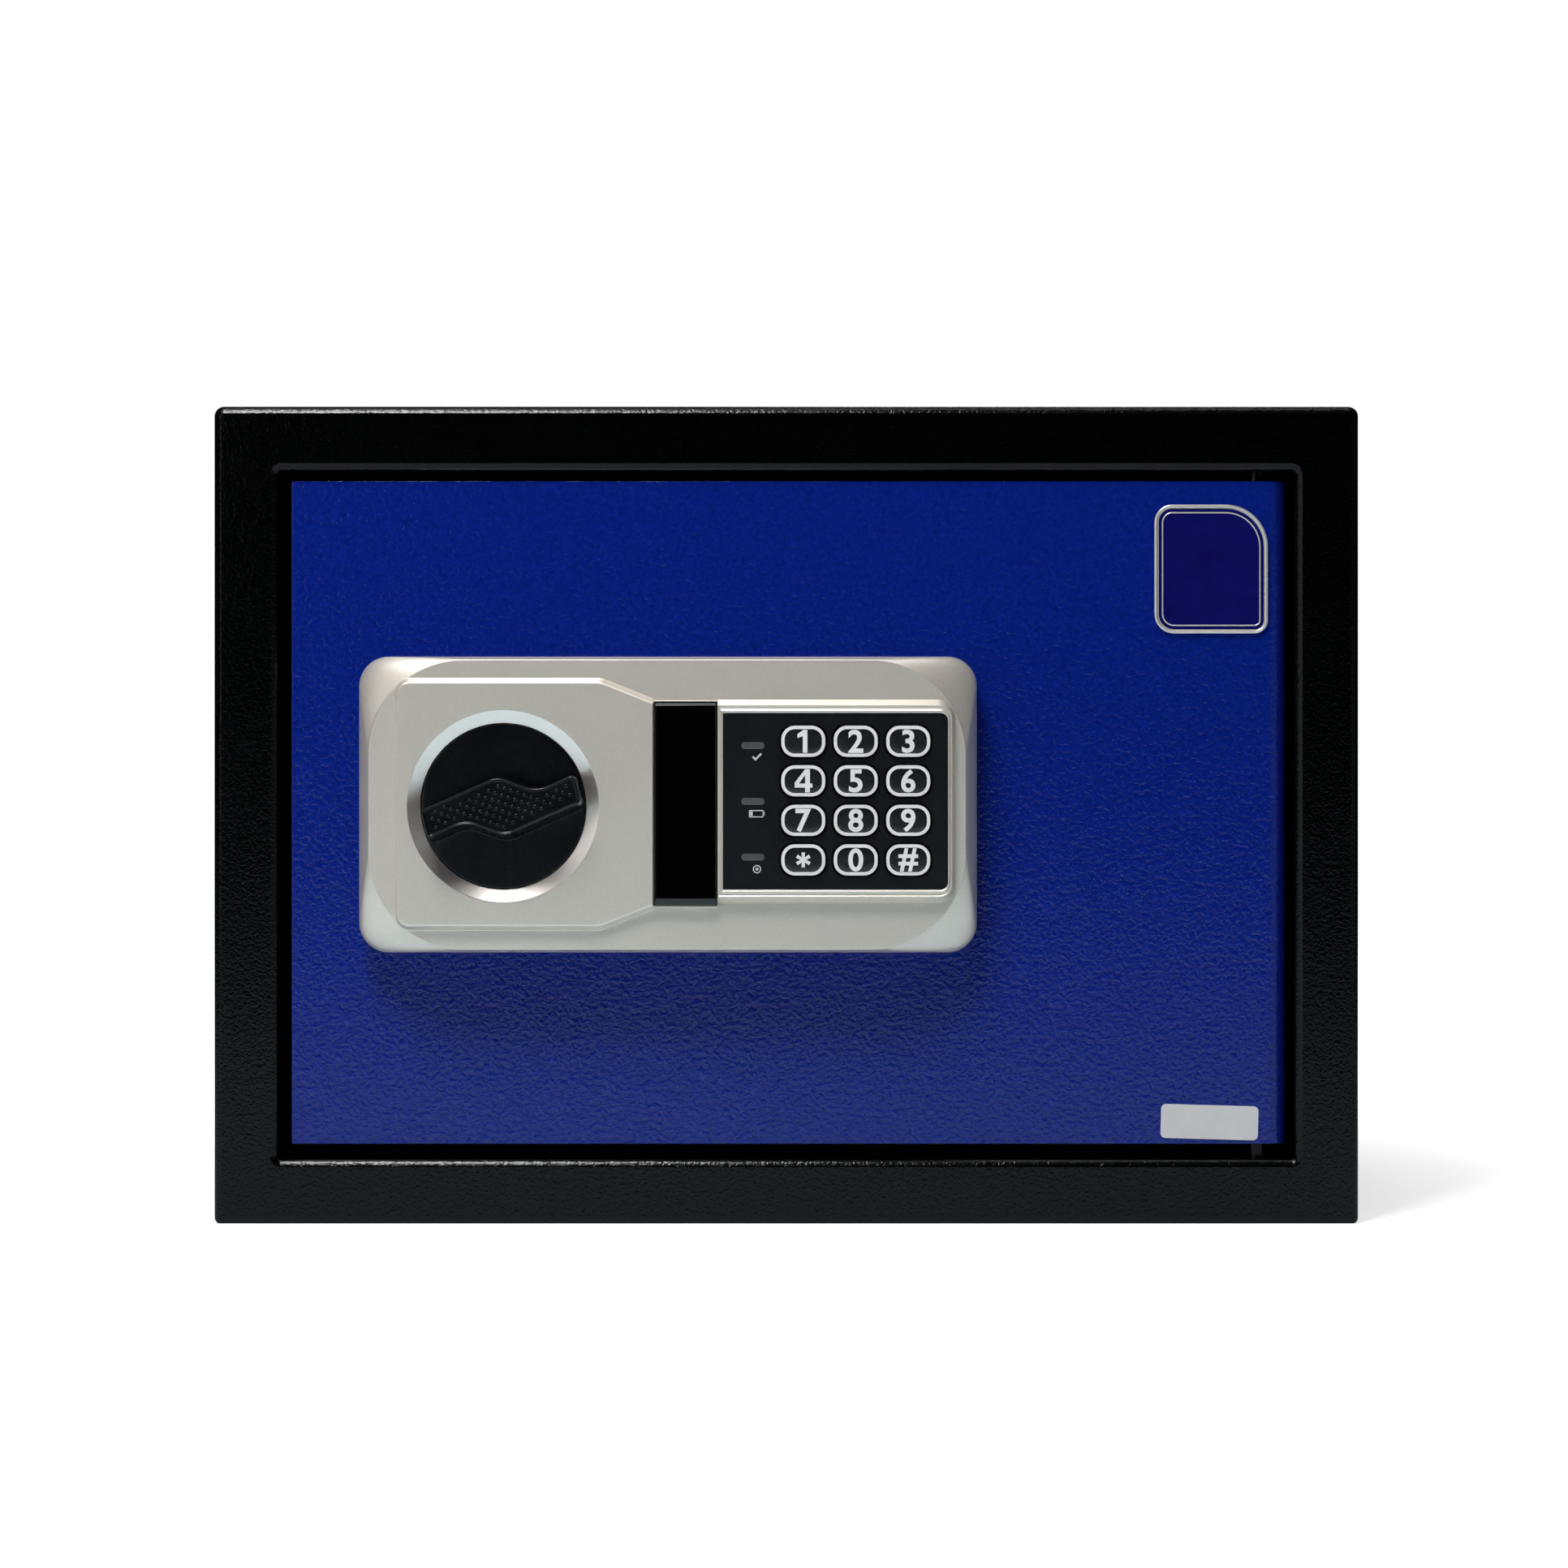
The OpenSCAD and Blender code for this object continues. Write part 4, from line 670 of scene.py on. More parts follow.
# %% Metals
def metal(name, dark, light, rough, grain):
    """Bare or plated metal with a fine drawn grain along X."""
    f = Finish(name, metallic=1.0)
    stretch = f.nodes.new("ShaderNodeMapping")
    stretch.inputs["Scale"].default_value = (0.06, 1, 1)
    f.links.new(f.place, stretch.inputs["Vector"])
    f.place = stretch.outputs["Vector"]
    grain_value = f.group(HANDLING, "Mask", Clouds_per_metre=grain)
    f.colour(grain_value, dark, light)
    f.roughness(grain_value, *rough)
    f.bump(grain_value, 0.006)
    return f.material


# duller and brighter colour, roughness from and to, streaks in a metre
METAL_RECIPES = {
    "nickel": ((0.60, 0.58, 0.54), (0.70, 0.68, 0.64), (0.18, 0.28), 1200.0),
    "zinc": ((0.50, 0.51, 0.49), (0.64, 0.65, 0.62), (0.28, 0.42), 500.0),
    "raw_steel": ((0.26, 0.26, 0.27), (0.36, 0.36, 0.37), (0.35, 0.5), 800.0),
    "bright_steel": ((0.64, 0.64, 0.66), (0.74, 0.74, 0.76), (0.14, 0.24), 1200.0),
    "brass": ((0.66, 0.50, 0.24), (0.80, 0.64, 0.34), (0.2, 0.32), 1200.0)}
METAL = {name: metal(name, *recipe) for name, recipe in METAL_RECIPES.items()}
print("metals:", *METAL)

# %% [markdown]
# ## Felt
# The mat's felt is matted fibre without a weave, so blobs of uneven height and a little sheen at
# grazing angles are enough.

# %% Felt
def felt():
    f = Finish("felt", level=0.2)
    fibres = f.group(POWDER_SKIN, "Height", Wrinkles_per_metre=900.0, Sharpness=0.7)
    f.colour(fibres, (0.018, 0.018, 0.020), (0.045, 0.045, 0.048))
    f.roughness(fibres, 0.85, 0.98)
    f.bump(fibres, 0.4)
    f.shader.inputs["Sheen Weight"].default_value = 0.35
    f.shader.inputs["Sheen Roughness"].default_value = 0.5
    return f.material


FELT = felt()
print("finishes:", len(bpy.data.materials))

# %% [markdown]
# ## Finishes for the solids that stay
# The works inside the door are already the right shape. Each solid gets the finish of its material
# slot in the record, so nothing keeps a flat colour, also where it is hidden. Only the hinge pins
# take the frame's black coat instead, as if sprayed with it, which also paints them as dark as the
# shaded gap they sit in.

# %% Dress the solids
SLOT_FINISH = {**PLASTIC, **METAL, "frame_coat": FRAME_COAT, "door_coat": DOOR_COAT,
               "cover_coat": COVER_COAT, "silver_paint": SILVER_PAINT,
               "badge_metal": BADGE_METAL, "felt": FELT}
slot_of = {part["node"]: part["material_slot"] for part in frame["record"]["subparts"]}
for name, node in frame["nodes"].items():
    # painted shade: the hinge pins get the frame's black coat, so they stay as dark as the shaded
    # gap round them
    finish = FRAME_COAT if name == "hinge_pins" else SLOT_FINISH[slot_of[name]]
    for place in node.material_slots:
        place.material = finish
    if not node.material_slots:
        node.data.materials.append(finish)
print("dressed:", len(frame["nodes"]), "solids")

# %% [markdown]
# ## Cabinet
# The box is folded from sheet steel, so its long edges and the rim of the opening are rounded and
# catch the light. A plain box with a bevel modifier would do, but the frame, its rim, the lip and
# the walls are one continuous sheet here, so the outline is carried through them level by level.

# %% Folded cabinet
BACK_Y = 125.0
BOX = [(x, z, 3 if z > 125 else 1.7) for x, z, r in plate(0, 125, 350, 250, 3)]
OPENING = plate(0, 125, 311, 210.5, 1.2)
SHEET = 1.5
LIP_Y = -109.0
PIN_X, PIN_Y, PIN_HOLE = 145, -114.5, 3.3
PIN_LUG_Z = (17, 228)
ANCHOR_HOLE = 5.5


def cabinet():
    """Outer walls, front, rim of the opening and lip, then back along the inside of the walls."""
    bm = bmesh.new()
    fold, rim = 2.4, 2.3
    outside = [(0.5, BACK_Y - SHEET), (0.1, BACK_Y - SHEET - 0.4), (0, BACK_Y - SHEET - 1)]
    outside += [(0, FRAME_Y + fold), (0.08, FRAME_Y + 1.75), (0.4, FRAME_Y + 1.2),
                (0.95, FRAME_Y + 0.72), (1.6, FRAME_Y + 0.33), (2.2, FRAME_Y + 0.05),
                (fold, FRAME_Y)]
    first, front = stepped(bm, BOX, outside)
    inside = [(-rim, FRAME_Y), (-rim + 0.12, FRAME_Y + 0.03), (-rim + 0.7, FRAME_Y + 0.3),
              (-rim + 1.4, FRAME_Y + 0.72), (-rim + 2.0, FRAME_Y + 1.22),
              (-0.08, FRAME_Y + 1.75), (0, FRAME_Y + 2.3)]
    inside += [(0, LIP_Y), (-SHEET, LIP_Y), (-SHEET, FRAME_Y + SHEET)]
    mouth, hidden = stepped(bm, OPENING, inside)
    fill(bm, front, mouth)
    wall, end = stepped(bm, BOX, [(SHEET, FRAME_Y + SHEET), (SHEET, BACK_Y - SHEET)])
    fill(bm, wall, hidden, toward=(0, 1, 0))
    skin(bm, end, first)
    holes = [((side * 100, 0, -1), (side * 100, 0, 3), ANCHOR_HOLE) for side in (-1, 1)]
    holes += [((PIN_X, PIN_Y, z), (PIN_X, PIN_Y, z + 5), PIN_HOLE) for z in PIN_LUG_Z]
    return finish_piece("cabinet_shell", bm, "cabinet", "frame_coat", FRAME_COAT,
                        stands_for=("body_wrap", "front_frame"), cuts=holes)


cabinet()

# %% [markdown]
# ## Back
# The back is a flat sheet set between the walls, with two holes for wall anchors. A drawn disc
# would look painted on, so the holes are really cut.

# %% Back sheet
def back_sheet():
    bm = bmesh.new()
    edge = [(0.5, BACK_Y - SHEET), (0, BACK_Y - SHEET + 0.4), (0, BACK_Y - 0.6),
            (0.2, BACK_Y - 0.2), (0.6, BACK_Y)]
    first, last = stepped(bm, BOX, edge)
    fill(bm, first)
    fill(bm, last, toward=(0, 1, 0))
    bmesh.ops.recalc_face_normals(bm, faces=bm.faces[:])
    holes = [((side * 75, 122, 125), (side * 75, 127, 125), ANCHOR_HOLE) for side in (-1, 1)]
    return finish_piece("back_sheet", bm, "cabinet", "frame_coat", FRAME_COAT,
                        stands_for=("back_panel",), cuts=holes)


back_sheet()

# %% [markdown]
# ## Floor mat
# A felt mat lies on the floor of the box so that what is put in doesn't rattle. Felt is soft, so
# its edges are rounded and its top is a little uneven. A grid with rounded edges and a slow wave is
# enough: a cloth simulation would move a flat mat by less than its thickness.

# %% Felt mat
MAT_CELLS = 86, 57
MAT_EDGE = (0.0, 0.35, 0.75, 0.92)
MAT_HOLE = 13


def felt_mat():
    low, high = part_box("floor_mat")
    bm = bmesh.new()
    w, d, t = high.x - low.x, high.y - low.y, high.z - low.z
    nx, ny = MAT_CELLS
    top = {}
    for i in range(nx + 1):
        for j in range(ny + 1):
            x, y = low.x + w * i / nx, low.y + d * j / ny
            near = min(i, nx - i, j, ny - j)
            full = MAT_EDGE[near] if near < len(MAT_EDGE) else 1.0
            wave = 0.06 * math.sin(x * 61) * math.sin(y * 47 + 1)
            top[i, j] = bm.verts.new((x, y, low.z + t * (0.35 + 0.59 * full) + wave * t * full))
    for i in range(nx):
        for j in range(ny):
            bm.faces.new([top[i, j], top[i + 1, j], top[i + 1, j + 1], top[i, j + 1]])
    edge = [top[i, 0] for i in range(nx)] + [top[nx, j] for j in range(ny)]
    edge += [top[i, ny] for i in range(nx, 0, -1)] + [top[0, j] for j in range(ny, 0, -1)]
    foot = [bm.verts.new((v.co.x, v.co.y, low.z)) for v in edge]
    skin(bm, foot, edge)
    fill(bm, foot, toward=(0, 0, -1))
    cuts = [((side * 100, 0, 0), (side * 100, 0, 8), MAT_HOLE) for side in (-1, 1)]
    mat = finish_piece("felt_mat", bm, "cabinet", "felt", FELT,
                       stands_for=("floor_mat",), cuts=cuts)
    print("mat in mm:", round(w / MM, 1), "x", round(d / MM, 1))


felt_mat()

# %% [markdown]
# ## Door
# The door is a 3 mm plate whose hinge edge is bent back, which makes the soft dark band on its
# right. The section is drawn as seen from above and stands up along Z, and a narrow bevel breaks
# the cut edges of the plate.

# %% Door leaf
DOOR_Y, DOOR_BACK = -122.0, -119.0
DOOR_X0, DOOR_X1 = -151.5, 153.5
DOOR_Z0, DOOR_Z1 = 24.25, 227.25
DOOR_HOLES = ((-85.4, 127.75, 6), (-30.35, 128.5, 8.8), (15.15, 118.25, 7))


def door_leaf():
    """The holes, as (x, z, radius), pass the knob's spindle, the lock and the keypad's leads."""
    bend, thick, flange = 6.0, 3.0, 17.0
    section = [(DOOR_X0, DOOR_BACK), (DOOR_X0, DOOR_Y)]
    section += [(DOOR_X1 - bend + bend * math.sin(a), DOOR_Y + bend - bend * math.cos(a))
                for a in (math.radians(90 * k / 8) for k in range(9))]
    section += [(DOOR_X1, DOOR_Y + flange), (DOOR_X1 - thick, DOOR_Y + flange)]
    inner = bend - thick
    section += [(DOOR_X1 - bend + inner * math.sin(a), DOOR_Y + bend - inner * math.cos(a))
                for a in (math.radians(90 - 90 * k / 4) for k in range(5))]
    bm = bmesh.new()
    low = [bm.verts.new((x * MM, y * MM, DOOR_Z0 * MM)) for x, y in section]
    high = [bm.verts.new((x * MM, y * MM, DOOR_Z1 * MM)) for x, y in section]
    skin(bm, low, high)
    bm.faces.new(low)
    bm.faces.new(high)
    bmesh.ops.recalc_face_normals(bm, faces=bm.faces[:])
    sharp = [e for e in bm.edges if e.calc_face_angle(0) > math.radians(40)]
    bmesh.ops.bevel(bm, geom=sharp, offset=0.3 * MM, segments=2, profile=0.5, affect="EDGES")
    holes = [((x, DOOR_Y - 1, z), (x, DOOR_BACK + 1, z), r) for x, z, r in DOOR_HOLES]
    return finish_piece("door_leaf", bm, "door", "door_coat", DOOR_COAT,
                        stands_for=("door_plate",), cuts=holes)


door_leaf()

# %% [markdown]
# ## Lock panel
# The panel is a silver-painted moulding. Its foot has small corners and its flat face has large
# ones, and the skin between the two leaves a sloping crescent at each corner. On the face stand a
# pad round the knob, a housing for the key strip and a stepped rim round the keypad. A modifier
# could bevel the joined form, but its edges differ, so each form is skinned through its own levels
# and then joined. The sloping ring round the knob is turned bright, so it gets a second finish.

# %% Panel outlines
PANEL_X, PANEL_Z = -36.0, 128.25
FACE_Y, PAD_Y = -138.0, -140.5
KNOB_X, KNOB_Z = -85.4, 127.75
KNOB_R = 24.8
STRIP_X, STRIP_Z, STRIP_W, STRIP_H = -30.35, 128.5, 19.3, 61.8
PAD_X0, PAD_X1 = -118.0, -40.0
PAD_Z0, PAD_Z1 = 90.4, 166.4
RIM_X0, RIM_X1, RIM_Z, RIM_TALL = -20.7, 51.0, 129.25, 61.5
PLATE_X, PLATE_W, PLATE_H = 15.15, 68.3, 53.2
PAD = [(PAD_X1 - 16, PAD_Z0, 7), (PAD_X1, PAD_Z0 + 6.3, 0.3), (PAD_X1, PAD_Z1 - 6.3, 0.3),
       (PAD_X1 - 16, PAD_Z1, 7), (PAD_X0, PAD_Z1, 4.6), (PAD_X0, PAD_Z0, 4.6)]
HOUSING = plate(STRIP_X, STRIP_Z, STRIP_W, STRIP_H + 0.6, 0.2)
RIM = [(RIM_X1, RIM_Z - RIM_TALL / 2, 5.5), (RIM_X1, RIM_Z + RIM_TALL / 2, 5.5),
       (RIM_X0, RIM_Z + RIM_TALL / 2, 0.3), (RIM_X0, RIM_Z - RIM_TALL / 2, 0.3)]
print("panel at", (PANEL_X, PANEL_Z), "knob at", (KNOB_X, KNOB_Z), "strip at", (STRIP_X, STRIP_Z))

# %% [markdown]
# The forms that stand on the panel overlap it, and its recesses are cut away. Both are joins of
# closed meshes, which a boolean modifier works out exactly.

# %% Joining and cutting closed forms
def closed(*rings):
    """A closed mesh from rings of equal length, capped at both ends."""
    bm = bmesh.new()
    loops = [ring(bm, points, y) for points, y in rings]
    skin(bm, *loops)
    bm.faces.new(loops[0])
    bm.faces.new(loops[-1])
    bmesh.ops.recalc_face_normals(bm, faces=bm.faces[:])
    mesh = bpy.data.meshes.new("form")
    bm.to_mesh(mesh)
    bm.free()
    return mesh


def combine(mesh, operation, *others):
    """The mesh joined with, or cut by, other closed meshes."""
    blank = bpy.data.objects.new("blank", mesh)
    scene.collection.objects.link(blank)
    tools = []
    for other in others:
        tool = bpy.data.objects.new("tool", other)
        scene.collection.objects.link(tool)
        step = blank.modifiers.new("step", "BOOLEAN")
        step.operation, step.solver, step.object = operation, "EXACT", tool
        tools.append(tool)
    done = evaluated_mesh(blank)
    for o in [blank, *tools]:
        bpy.data.objects.remove(o)
    return done


print("closed form helpers:", closed.__name__, combine.__name__)

# %% [markdown]
# A form is then a short list of levels from one end to the other. Each level says how far the
# outline is drawn in there, or how large a round form is, and at which depth it lies.

# %% Levels of a form
def levels(corners, steps, *pairs):
    """Rings of an outline drawn in by a distance, or a list of them, at each level."""
    return [(rounded(drawn_in(corners, d), steps), y) for d, y in pairs]


def level_rings(bm, corners, steps, *pairs):
    """The same rings, made in a mesh."""
    return [ring(bm, points, y) for points, y in levels(corners, steps, *pairs)]


def turned(x, z, *pairs, steps=96):
    """Rings of a round form: pairs of radius and y."""
    return [(circle(x, z, r, steps), y) for r, y in pairs]


print("corners round a turned form:", len(turned(0, 0, (1, 0))[0][0]))

# %% [markdown]
# The body's corners grow rounder from the foot to the face, so its rings are blended between two
# outlines. Straight walls with a bevel would lose the crescent at each corner.

# %% Panel body
PANEL_W, PANEL_H, FOOT_CORNER = 188, 90, 9


def slope_ring(t, edge):
    """Outline from the foot at 0 to the flat face at 1, drawn in by the rounding of the edge."""
    outline = plate(PANEL_X, PANEL_Z, PANEL_W - 7.0 * t, PANEL_H - 2.0 * t, FOOT_CORNER + 20 * t)
    return rounded(drawn_in(outline, edge), 24)


def panel_body():
    slope = [(0, 0, -122), (0, 0, -129), (0.03, 0, -130.2), (0.12, 0, -131.7),
             (0.33, 0, -133.7), (0.62, 0, -135.7), (0.94, 0, -137.3), (0.98, 0.06, -137.55),
             (1, 0.2, -137.81), (1, 0.36, -137.95), (1, 0.55, FACE_Y)]
    return closed(*[(slope_ring(t, edge), y) for t, edge, y in slope])


print("panel in mm:", PANEL_W, "x", PANEL_H)

# %% [markdown]
# The pad and the rim lean in by a different amount on each side, and the housing stands straight.
# Bevels would round all sides alike. Here one profile of shares serves all sides of a form, so its
# edge keeps one character while the slopes differ.

# %% Forms on the panel
def knob_pad():
    side = [1.3, 0.25, 1.3, 1.3, 0.5, 1.3]
    profile = [(-0.25, -136), (-0.25, -138), (-0.1, -138.06), (0.02, -138.22), (0.12, -138.5),
               (0.72, -139.9), (0.84, -140.16), (1.0, -140.36), (1.2, -140.47), (1.42, PAD_Y)]
    return closed(*levels(PAD, 10, *[([s * share for s in side], y) for share, y in profile]))


def strip_housing():
    return closed(*levels(HOUSING, 4, (0, -136), (0, PAD_Y + 0.25), (0.15, PAD_Y + 0.1)))


def keypad_rim():
    """A sloping outer wall, a fine groove and a raised lip, then down to the plate's level.

    The side next to the strip stands straight until the others have come in by the share late.
    """
    sides = [2.3, 4.15, 1.7, 4.15]
    late = 0.4
    profile = [(0, -136), (0, -138.3), (0.03, -138.6), (0.36, -140.62), (0.43, -140.86),
               (0.52, -140.9), (0.60, -140.72), (0.66, -140.72), (0.74, -141.1), (0.82, -141.28),
               (0.88, -141.28), (0.96, -141.12), (1.0, -140.85), (1.0, -138.9)]
    drawn = []
    for share, y in profile:
        beside_strip = max(0, share - late) / (1 - late)
        drawn.append(([s * (share if s > 2 else beside_strip) for s in sides], y))
    return closed(*levels(RIM, 8, *drawn))


print("pad, housing and rim:", len(rounded(PAD, 10)), len(rounded(HOUSING, 4)),
      len(rounded(RIM, 8)), "corners")


# %% [markdown]
# What is hollow is cut out last, so that the recesses also go through the forms on the panel. The
# funnel round the knob gets its own slope here, which later turns bright.

# %% Panel cutters
FUNNEL_TOP, FUNNEL_FOOT = 29.05, 25.1


def panel_cutters():
    """The knob's funnel and well, the strip's recess and pocket, and the openings behind them."""
    funnel = turned(KNOB_X, KNOB_Z, (29.3, PAD_Y - 0.2), (FUNNEL_TOP, PAD_Y),
                    (28.85, PAD_Y + 0.08), (28.7, PAD_Y + 0.16), (25.25, PAD_Y + 1.75),
                    (FUNNEL_FOOT, PAD_Y + 1.95), (FUNNEL_FOOT, PAD_Y + 6))
    spindle = turned(KNOB_X, KNOB_Z, (4.1, -136), (4.1, -121), steps=32)
    recess = levels(plate(STRIP_X, STRIP_Z, STRIP_W, STRIP_H, 0.6), 4, (0, -143), (0, -138.8))
    pocket = levels(plate(STRIP_X, STRIP_Z, STRIP_W - 2, STRIP_H - 6, 1), 4, (0, -139), (0, -134))
    lock = turned(STRIP_X, STRIP_Z, (8.55, -135), (8.55, -121), steps=48)
    keys = levels(plate(PLATE_X, RIM_Z, PLATE_W - 4, PLATE_H - 4, 1), 4, (0, -140), (0, -121))
    return [closed(*rings) for rings in (funnel, spindle, recess, pocket, lock, keys)]


print("funnel radius in mm:", FUNNEL_TOP, "to", FUNNEL_FOOT)

# %% [markdown]
# Now the forms are joined and the recesses cut. The faces that lie on the funnel's slope are found
# by their distance from the knob and get the second finish.

# %% Lock panel
def lock_panel():
    form = combine(panel_body(), "UNION", knob_pad(), strip_housing(), keypad_rim())
    form = combine(form, "DIFFERENCE", *panel_cutters())
    for face in form.polygons:
        x, y, z = face.center / MM
        from_knob = math.hypot(x - KNOB_X, z - KNOB_Z)
        if y > PAD_Y + 0.02 and FUNNEL_FOOT + 0.1 < from_knob < FUNNEL_TOP + 0.15:
            face.material_index = 1
    return finish_piece("lock_panel_skin", form, "door", "silver_paint", SILVER_PAINT, RING_METAL,
                       stands_for=("lock_panel",), crease=24)


lock_panel()

# %% [markdown]
# ## Knob
# The knob is a flat black disc with an S-shaped grip across it. The grip's top is sunk inside a
# fine raised edge and set with rows of small bumps, so that a wet finger doesn't slip. The S could
# be a curve with a bevel, but the fine edge round its top needs a profile of its own. So it is
# drawn once as an outline and carried up in levels.

# %% Grip outline
GRIP_TURN = math.radians(24)
GRIP = [(-22.4, 8.75, 1.6), (-24.0, 0, 1.6), (-11.6, 0, 9), (-2.6, -8.75, 7),
        (22.4, -8.75, 1.6), (24.0, 0, 1.6), (11.6, 0, 9), (2.6, 8.75, 7)]


def turned_by(points, angle, x=0.0, z=0.0):
    c, s = math.cos(angle), math.sin(angle)
    return [(x + u * c - v * s, z + u * s + v * c) for u, v in points]


def grip_ring(bm, inset, y):
    """The grip's outline at a level; below its rim only the lower sides lean out much."""
    steep = inset if inset > 0 else inset * 0.2
    corners = drawn_in(GRIP, [steep, inset, inset, inset] + [steep] * 4)
    return ring(bm, turned_by(rounded(corners, 8), GRIP_TURN, KNOB_X, KNOB_Z), y)


print("corners round the grip:", len(rounded(GRIP, 8)))

# %% [markdown]
# The bumps are small oval domes laid in a slanted grid inside the grip's outline. A bump in the
# material would be cheaper, but would leave the top of the grip smooth from the side.

# %% Bumps on the grip
def inside(points, x, z):
    """Whether a point lies inside an outline."""
    hit = False
    for (x0, z0), (x1, z1) in zip(points, points[1:] + points[:1]):
        if (z0 > z) != (z1 > z) and x < x0 + (z - z0) * (x1 - x0) / (z1 - z0):
            hit = not hit
    return hit


BUMP_WIDE, BUMP_TALL, BUMP_HIGH = 0.8, 0.55, 0.22
BUMP_START, BUMP_ALONG, BUMP_ACROSS = (-0.52, 1.27), (2.81, 1.385), (1.98, -0.67)


def dome(bm, x, z, y, around=12):
    """A small oval bump on a face that looks to the front."""
    rings = []
    for a in (0, 0.4, 0.8, 1.2):
        wide, tall = BUMP_WIDE * math.cos(a), BUMP_TALL * math.cos(a)
        oval = [(x + wide * u, z + tall * v) for u, v in circle(0, 0, 1, around)]
        rings.append(ring(bm, oval, y - BUMP_HIGH * math.sin(a)))
    skin(bm, *rings)
    tip = bm.verts.new((x * MM, (y - BUMP_HIGH) * MM, z * MM))
    for i in range(around):
        bm.faces.new((rings[-1][i], rings[-1][(i + 1) % around], tip))


print("bump in mm:", 2 * BUMP_WIDE, "x", 2 * BUMP_TALL, "and", BUMP_HIGH, "high")

# %% [markdown]
# Disc, grip and bumps are put together in one mesh, because they are one moulded piece.

# %% Knob
GRIP_FLOOR = -148.95


def knob_face():
    bm = bmesh.new()
    disc = [ring(bm, circle(KNOB_X, KNOB_Z, r, 96), y)
            for r, y in ((24.5, -134.8), (KNOB_R, -135.1), (KNOB_R, -138.35),
                         (24.68, -138.68), (24.35, -138.8))]
    skin(bm, *disc)
    fill(bm, disc[0], toward=(0, 1, 0))
    profile = [(-1.9, -138.8), (-1.6, -139.0), (-1.35, -139.6), (-0.2, -147.6), (-0.06, -148.7),
               (0.06, -149.2), (0.2, -149.42), (0.34, -149.48), (0.48, -149.42), (0.62, -149.22),
               (0.74, -149.06), (1.0, GRIP_FLOOR)]
    grip = [grip_ring(bm, inset, y) for inset, y in profile]
    skin(bm, *grip)
    fill(bm, disc[-1], grip[0])
    fill(bm, grip[-1])
    room = turned_by(rounded(drawn_in(GRIP, 2.0), 8), GRIP_TURN)
    bumps = 0
    for i in range(-12, 13):
        for j in range(-12, 13):
            x, z = (start + along * i + across * j for start, along, across
                    in zip(BUMP_START, BUMP_ALONG, BUMP_ACROSS))
            if inside(room, x, z):
                dome(bm, KNOB_X + x, KNOB_Z + z, GRIP_FLOOR)
                bumps += 1
    print("bumps on the grip:", bumps)
    return finish_piece("knob_face", bm, "knob_turning", "knob_black", PLASTIC["knob_black"],
                        stands_for=("knob",), crease=40)


knob_face()

# %% [markdown]
# ## Key strip
# The glossy black strip between the pad and the keypad is a cover that lifts off the emergency
# lock. It is a plain tile with a narrow bevel at the top and a wider one at the bottom, which
# mirrors the table. A small raised arrow shows where to pull it.

# %% Key strip
STRIP_FRONT = -140.98


def key_strip():
    bm = bmesh.new()
    tile = plate(STRIP_X, STRIP_Z, STRIP_W - 0.3, STRIP_H - 0.3, 0.7)
    sides = [0.5, 1.2, 0.5, 1.9]
    profile = [(0, -138.8), (0, -139.9), (0.06, -140.1), (0.86, -140.86), (1.0, -140.95),
               (1.15, STRIP_FRONT)]
    rings = level_rings(bm, tile, 6, *[([s * share for s in sides], y) for share, y in profile])
    skin(bm, *rings)
    fill(bm, rings[-1])
    fill(bm, rings[0], toward=(0, 1, 0))
    arrow_z = STRIP_Z + STRIP_H / 2 - 6
    arrow = [(-1.0, -1.4, 0.1), (0, 0.1, 0.1), (1.0, -1.4, 0.1), (1.6, -1, 0.15), (0, 1.2, 0.2),
             (-1.6, -1, 0.15)]
    for lift in (0, -2.4):
        moved = [(STRIP_X + x, arrow_z + z + lift, r) for x, z, r in arrow]
        low, high = (ring(bm, rounded(moved, 2), STRIP_FRONT + step) for step in (0.01, -0.02))
        skin(bm, low, high)
        fill(bm, high)
    return finish_piece("key_strip_cover", bm, "key_strip", "gloss_black", PLASTIC["gloss_black"],
                        stands_for=("key_cover",), crease=50)


key_strip()

# %% [markdown]
# ## Keys
# Each key is a rounded pill of black rubber with a white ring and a white character printed on it.
# A picture could carry the characters, but would need unwrapping and would look soft up close.
# Blender's own letter shapes, made a little bolder, give most of them as flat faces.

# %% Letter shapes
CHARACTER_TALL = 7.0
CHARACTER_WEIGHT = 0.024


def letter_mesh(text, tall, weight):
    """A character as a mesh in mm, standing on XZ with its middle at the origin."""
    curve = bpy.data.curves.new("letter", "FONT")
    curve.body = text
    curve.align_x = "CENTER"
    curve.offset = weight
    curve.resolution_u = 4
    blank = bpy.data.objects.new("letter", curve)
    scene.collection.objects.link(blank)
    mesh = evaluated_mesh(blank)
    bpy.data.objects.remove(blank)
    low = Vector([min(v.co[i] for v in mesh.vertices) for i in range(2)])
    high = Vector([max(v.co[i] for v in mesh.vertices) for i in range(2)])
    size = tall / (high.y - low.y)
    points = [((v.co.x - (low.x + high.x) / 2) * size, (v.co.y - (low.y + high.y) / 2) * size)
              for v in mesh.vertices]
    faces = [list(p.vertices) for p in mesh.polygons]
    bpy.data.meshes.remove(mesh)
    return points, faces


print("characters:", CHARACTER_TALL, "mm tall")

# %% [markdown]
# The one, the four and the star are drawn as outlines, because such keys have a one with no foot, a
# bold open four and a star with six arms, which the letter shapes lack.

# %% Drawn characters
def flat_shape(corners):
    points = rounded(corners, 2)
    return points, [list(range(len(points)))]


def one_shape():
    return flat_shape([(1.25, -3.45, 0.1), (1.25, 3.45, 0.1), (0.05, 3.45, 0.3), (-1.75, 2.2, 0.3),
                       (-1.75, 0.95, 0.1), (-0.15, 1.6, 0.1), (-0.15, -3.45, 0.1)])


